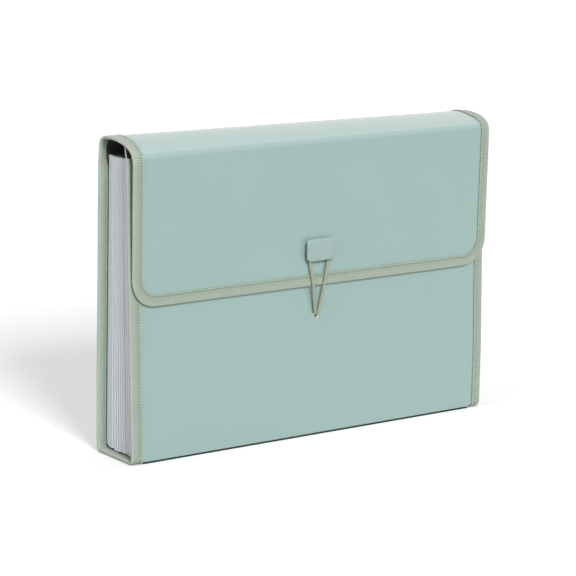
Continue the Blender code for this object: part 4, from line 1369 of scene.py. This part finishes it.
def makeSuns(suns):
    for name, (source, energy, angle) in suns.items():
        data = bpy.data.lights.new(name + "Light", "SUN")
        data.energy, data.angle = energy, math.radians(angle)
        lamp = bpy.data.objects.new(name + "Light", data)
        lamp.location = source
        lamp.rotation_euler = Vector(source).to_track_quat("Z", "Y").to_euler()
        lamp.visible_camera = False
        scene.collection.objects.link(lamp)


def makeWorld(strength):
    # white where it is seen, and plain soft light on the object
    scene.world = scene.world or bpy.data.worlds.new("studio")
    tree = startTree(scene.world)
    level = addNode(tree, "Math", {"operation": "MULTIPLY_ADD", 0: seenDirectly(tree), 1: 1.0 - strength, 2: strength})
    background = addNode(tree, "Background", {"Color": (1, 1, 1, 1), "Strength": level})
    addNode(tree, "OutputWorld", {"Surface": background})


def makeFloor(setup):
    size, height = setup["floor"]
    bpy.ops.mesh.primitive_plane_add(size=size, location=(0, 0, height))
    floor = bpy.context.object
    floor.name = "studioFloor"
    # Matt backdrop paper, white where it is seen and greyer as a reflector, painted dark under the folder as a painted
    # shadow
    material, tree, place = startMaterial("paperBackdropMatt")
    split = addNode(tree, "SeparateXYZ", {"Vector": place})
    halfWidth, middle, halfDepth = setup["footprint"]
    aside = addNode(tree, "Math", {"operation": "ABSOLUTE", 0: split.outputs["X"]})
    inWidth = addNode(tree, "Math", {"operation": "LESS_THAN", 0: aside, 1: halfWidth})
    behind = addNode(tree, "Math", {"operation": "SUBTRACT", 0: split.outputs["Y"], 1: middle})
    apart = addNode(tree, "Math", {"operation": "ABSOLUTE", 0: behind})
    inDepth = addNode(tree, "Math", {"operation": "LESS_THAN", 0: apart, 1: halfDepth})
    under = addNode(tree, "Math", {"operation": "MULTIPLY", 0: inWidth, 1: inDepth})
    shade = addNode(tree, "Mix", {"data_type": "RGBA", 0: under, 6: srgb(setup["paper"]),
                                  7: srgb(setup["paintedShadow"])}).outputs[2]
    # painted contact shade: ambient occlusion fades the glow near edges, and the glow is taken away under the folder
    openness = addNode(tree, "AmbientOcclusion", {"samples": 8, "Distance": setup["contact"] * mm}).outputs["AO"]
    clear = addNode(tree, "Math", {"operation": "SUBTRACT", 0: openness, 1: under})
    strength = addNode(tree, "Math", {"operation": "MULTIPLY", 0: clear, 1: setup["glow"]})
    positive = addNode(tree, "Math", {"operation": "MAXIMUM", 0: strength, 1: 0.0})
    glow = addNode(tree, "Emission", {"Color": (1, 1, 1, 1), "Strength": positive})
    lit = addNode(tree, "AddShader", {0: addNode(tree, "BsdfDiffuse", {"Color": shade}), 1: glow})
    bounce = addNode(tree, "BsdfDiffuse", {"Color": srgb(setup["bouncePaper"])})
    addNode(tree, "OutputMaterial", {"Surface": addNode(tree, "MixShader", {0: seenDirectly(tree), 1: bounce, 2: lit})})
    floor.data.materials.append(material)
    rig.stage(floor)


makeSuns(light["suns"])
makeWorld(light["world"])
makeFloor(light)
scene.view_settings.view_transform = "Standard"
print("stage made")

low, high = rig.bounds()
with open("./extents.json", "w") as sizes:
    json.dump({"cad": [list(cadLow), list(cadHigh)], "visual": [list(low), list(high)]}, sizes)
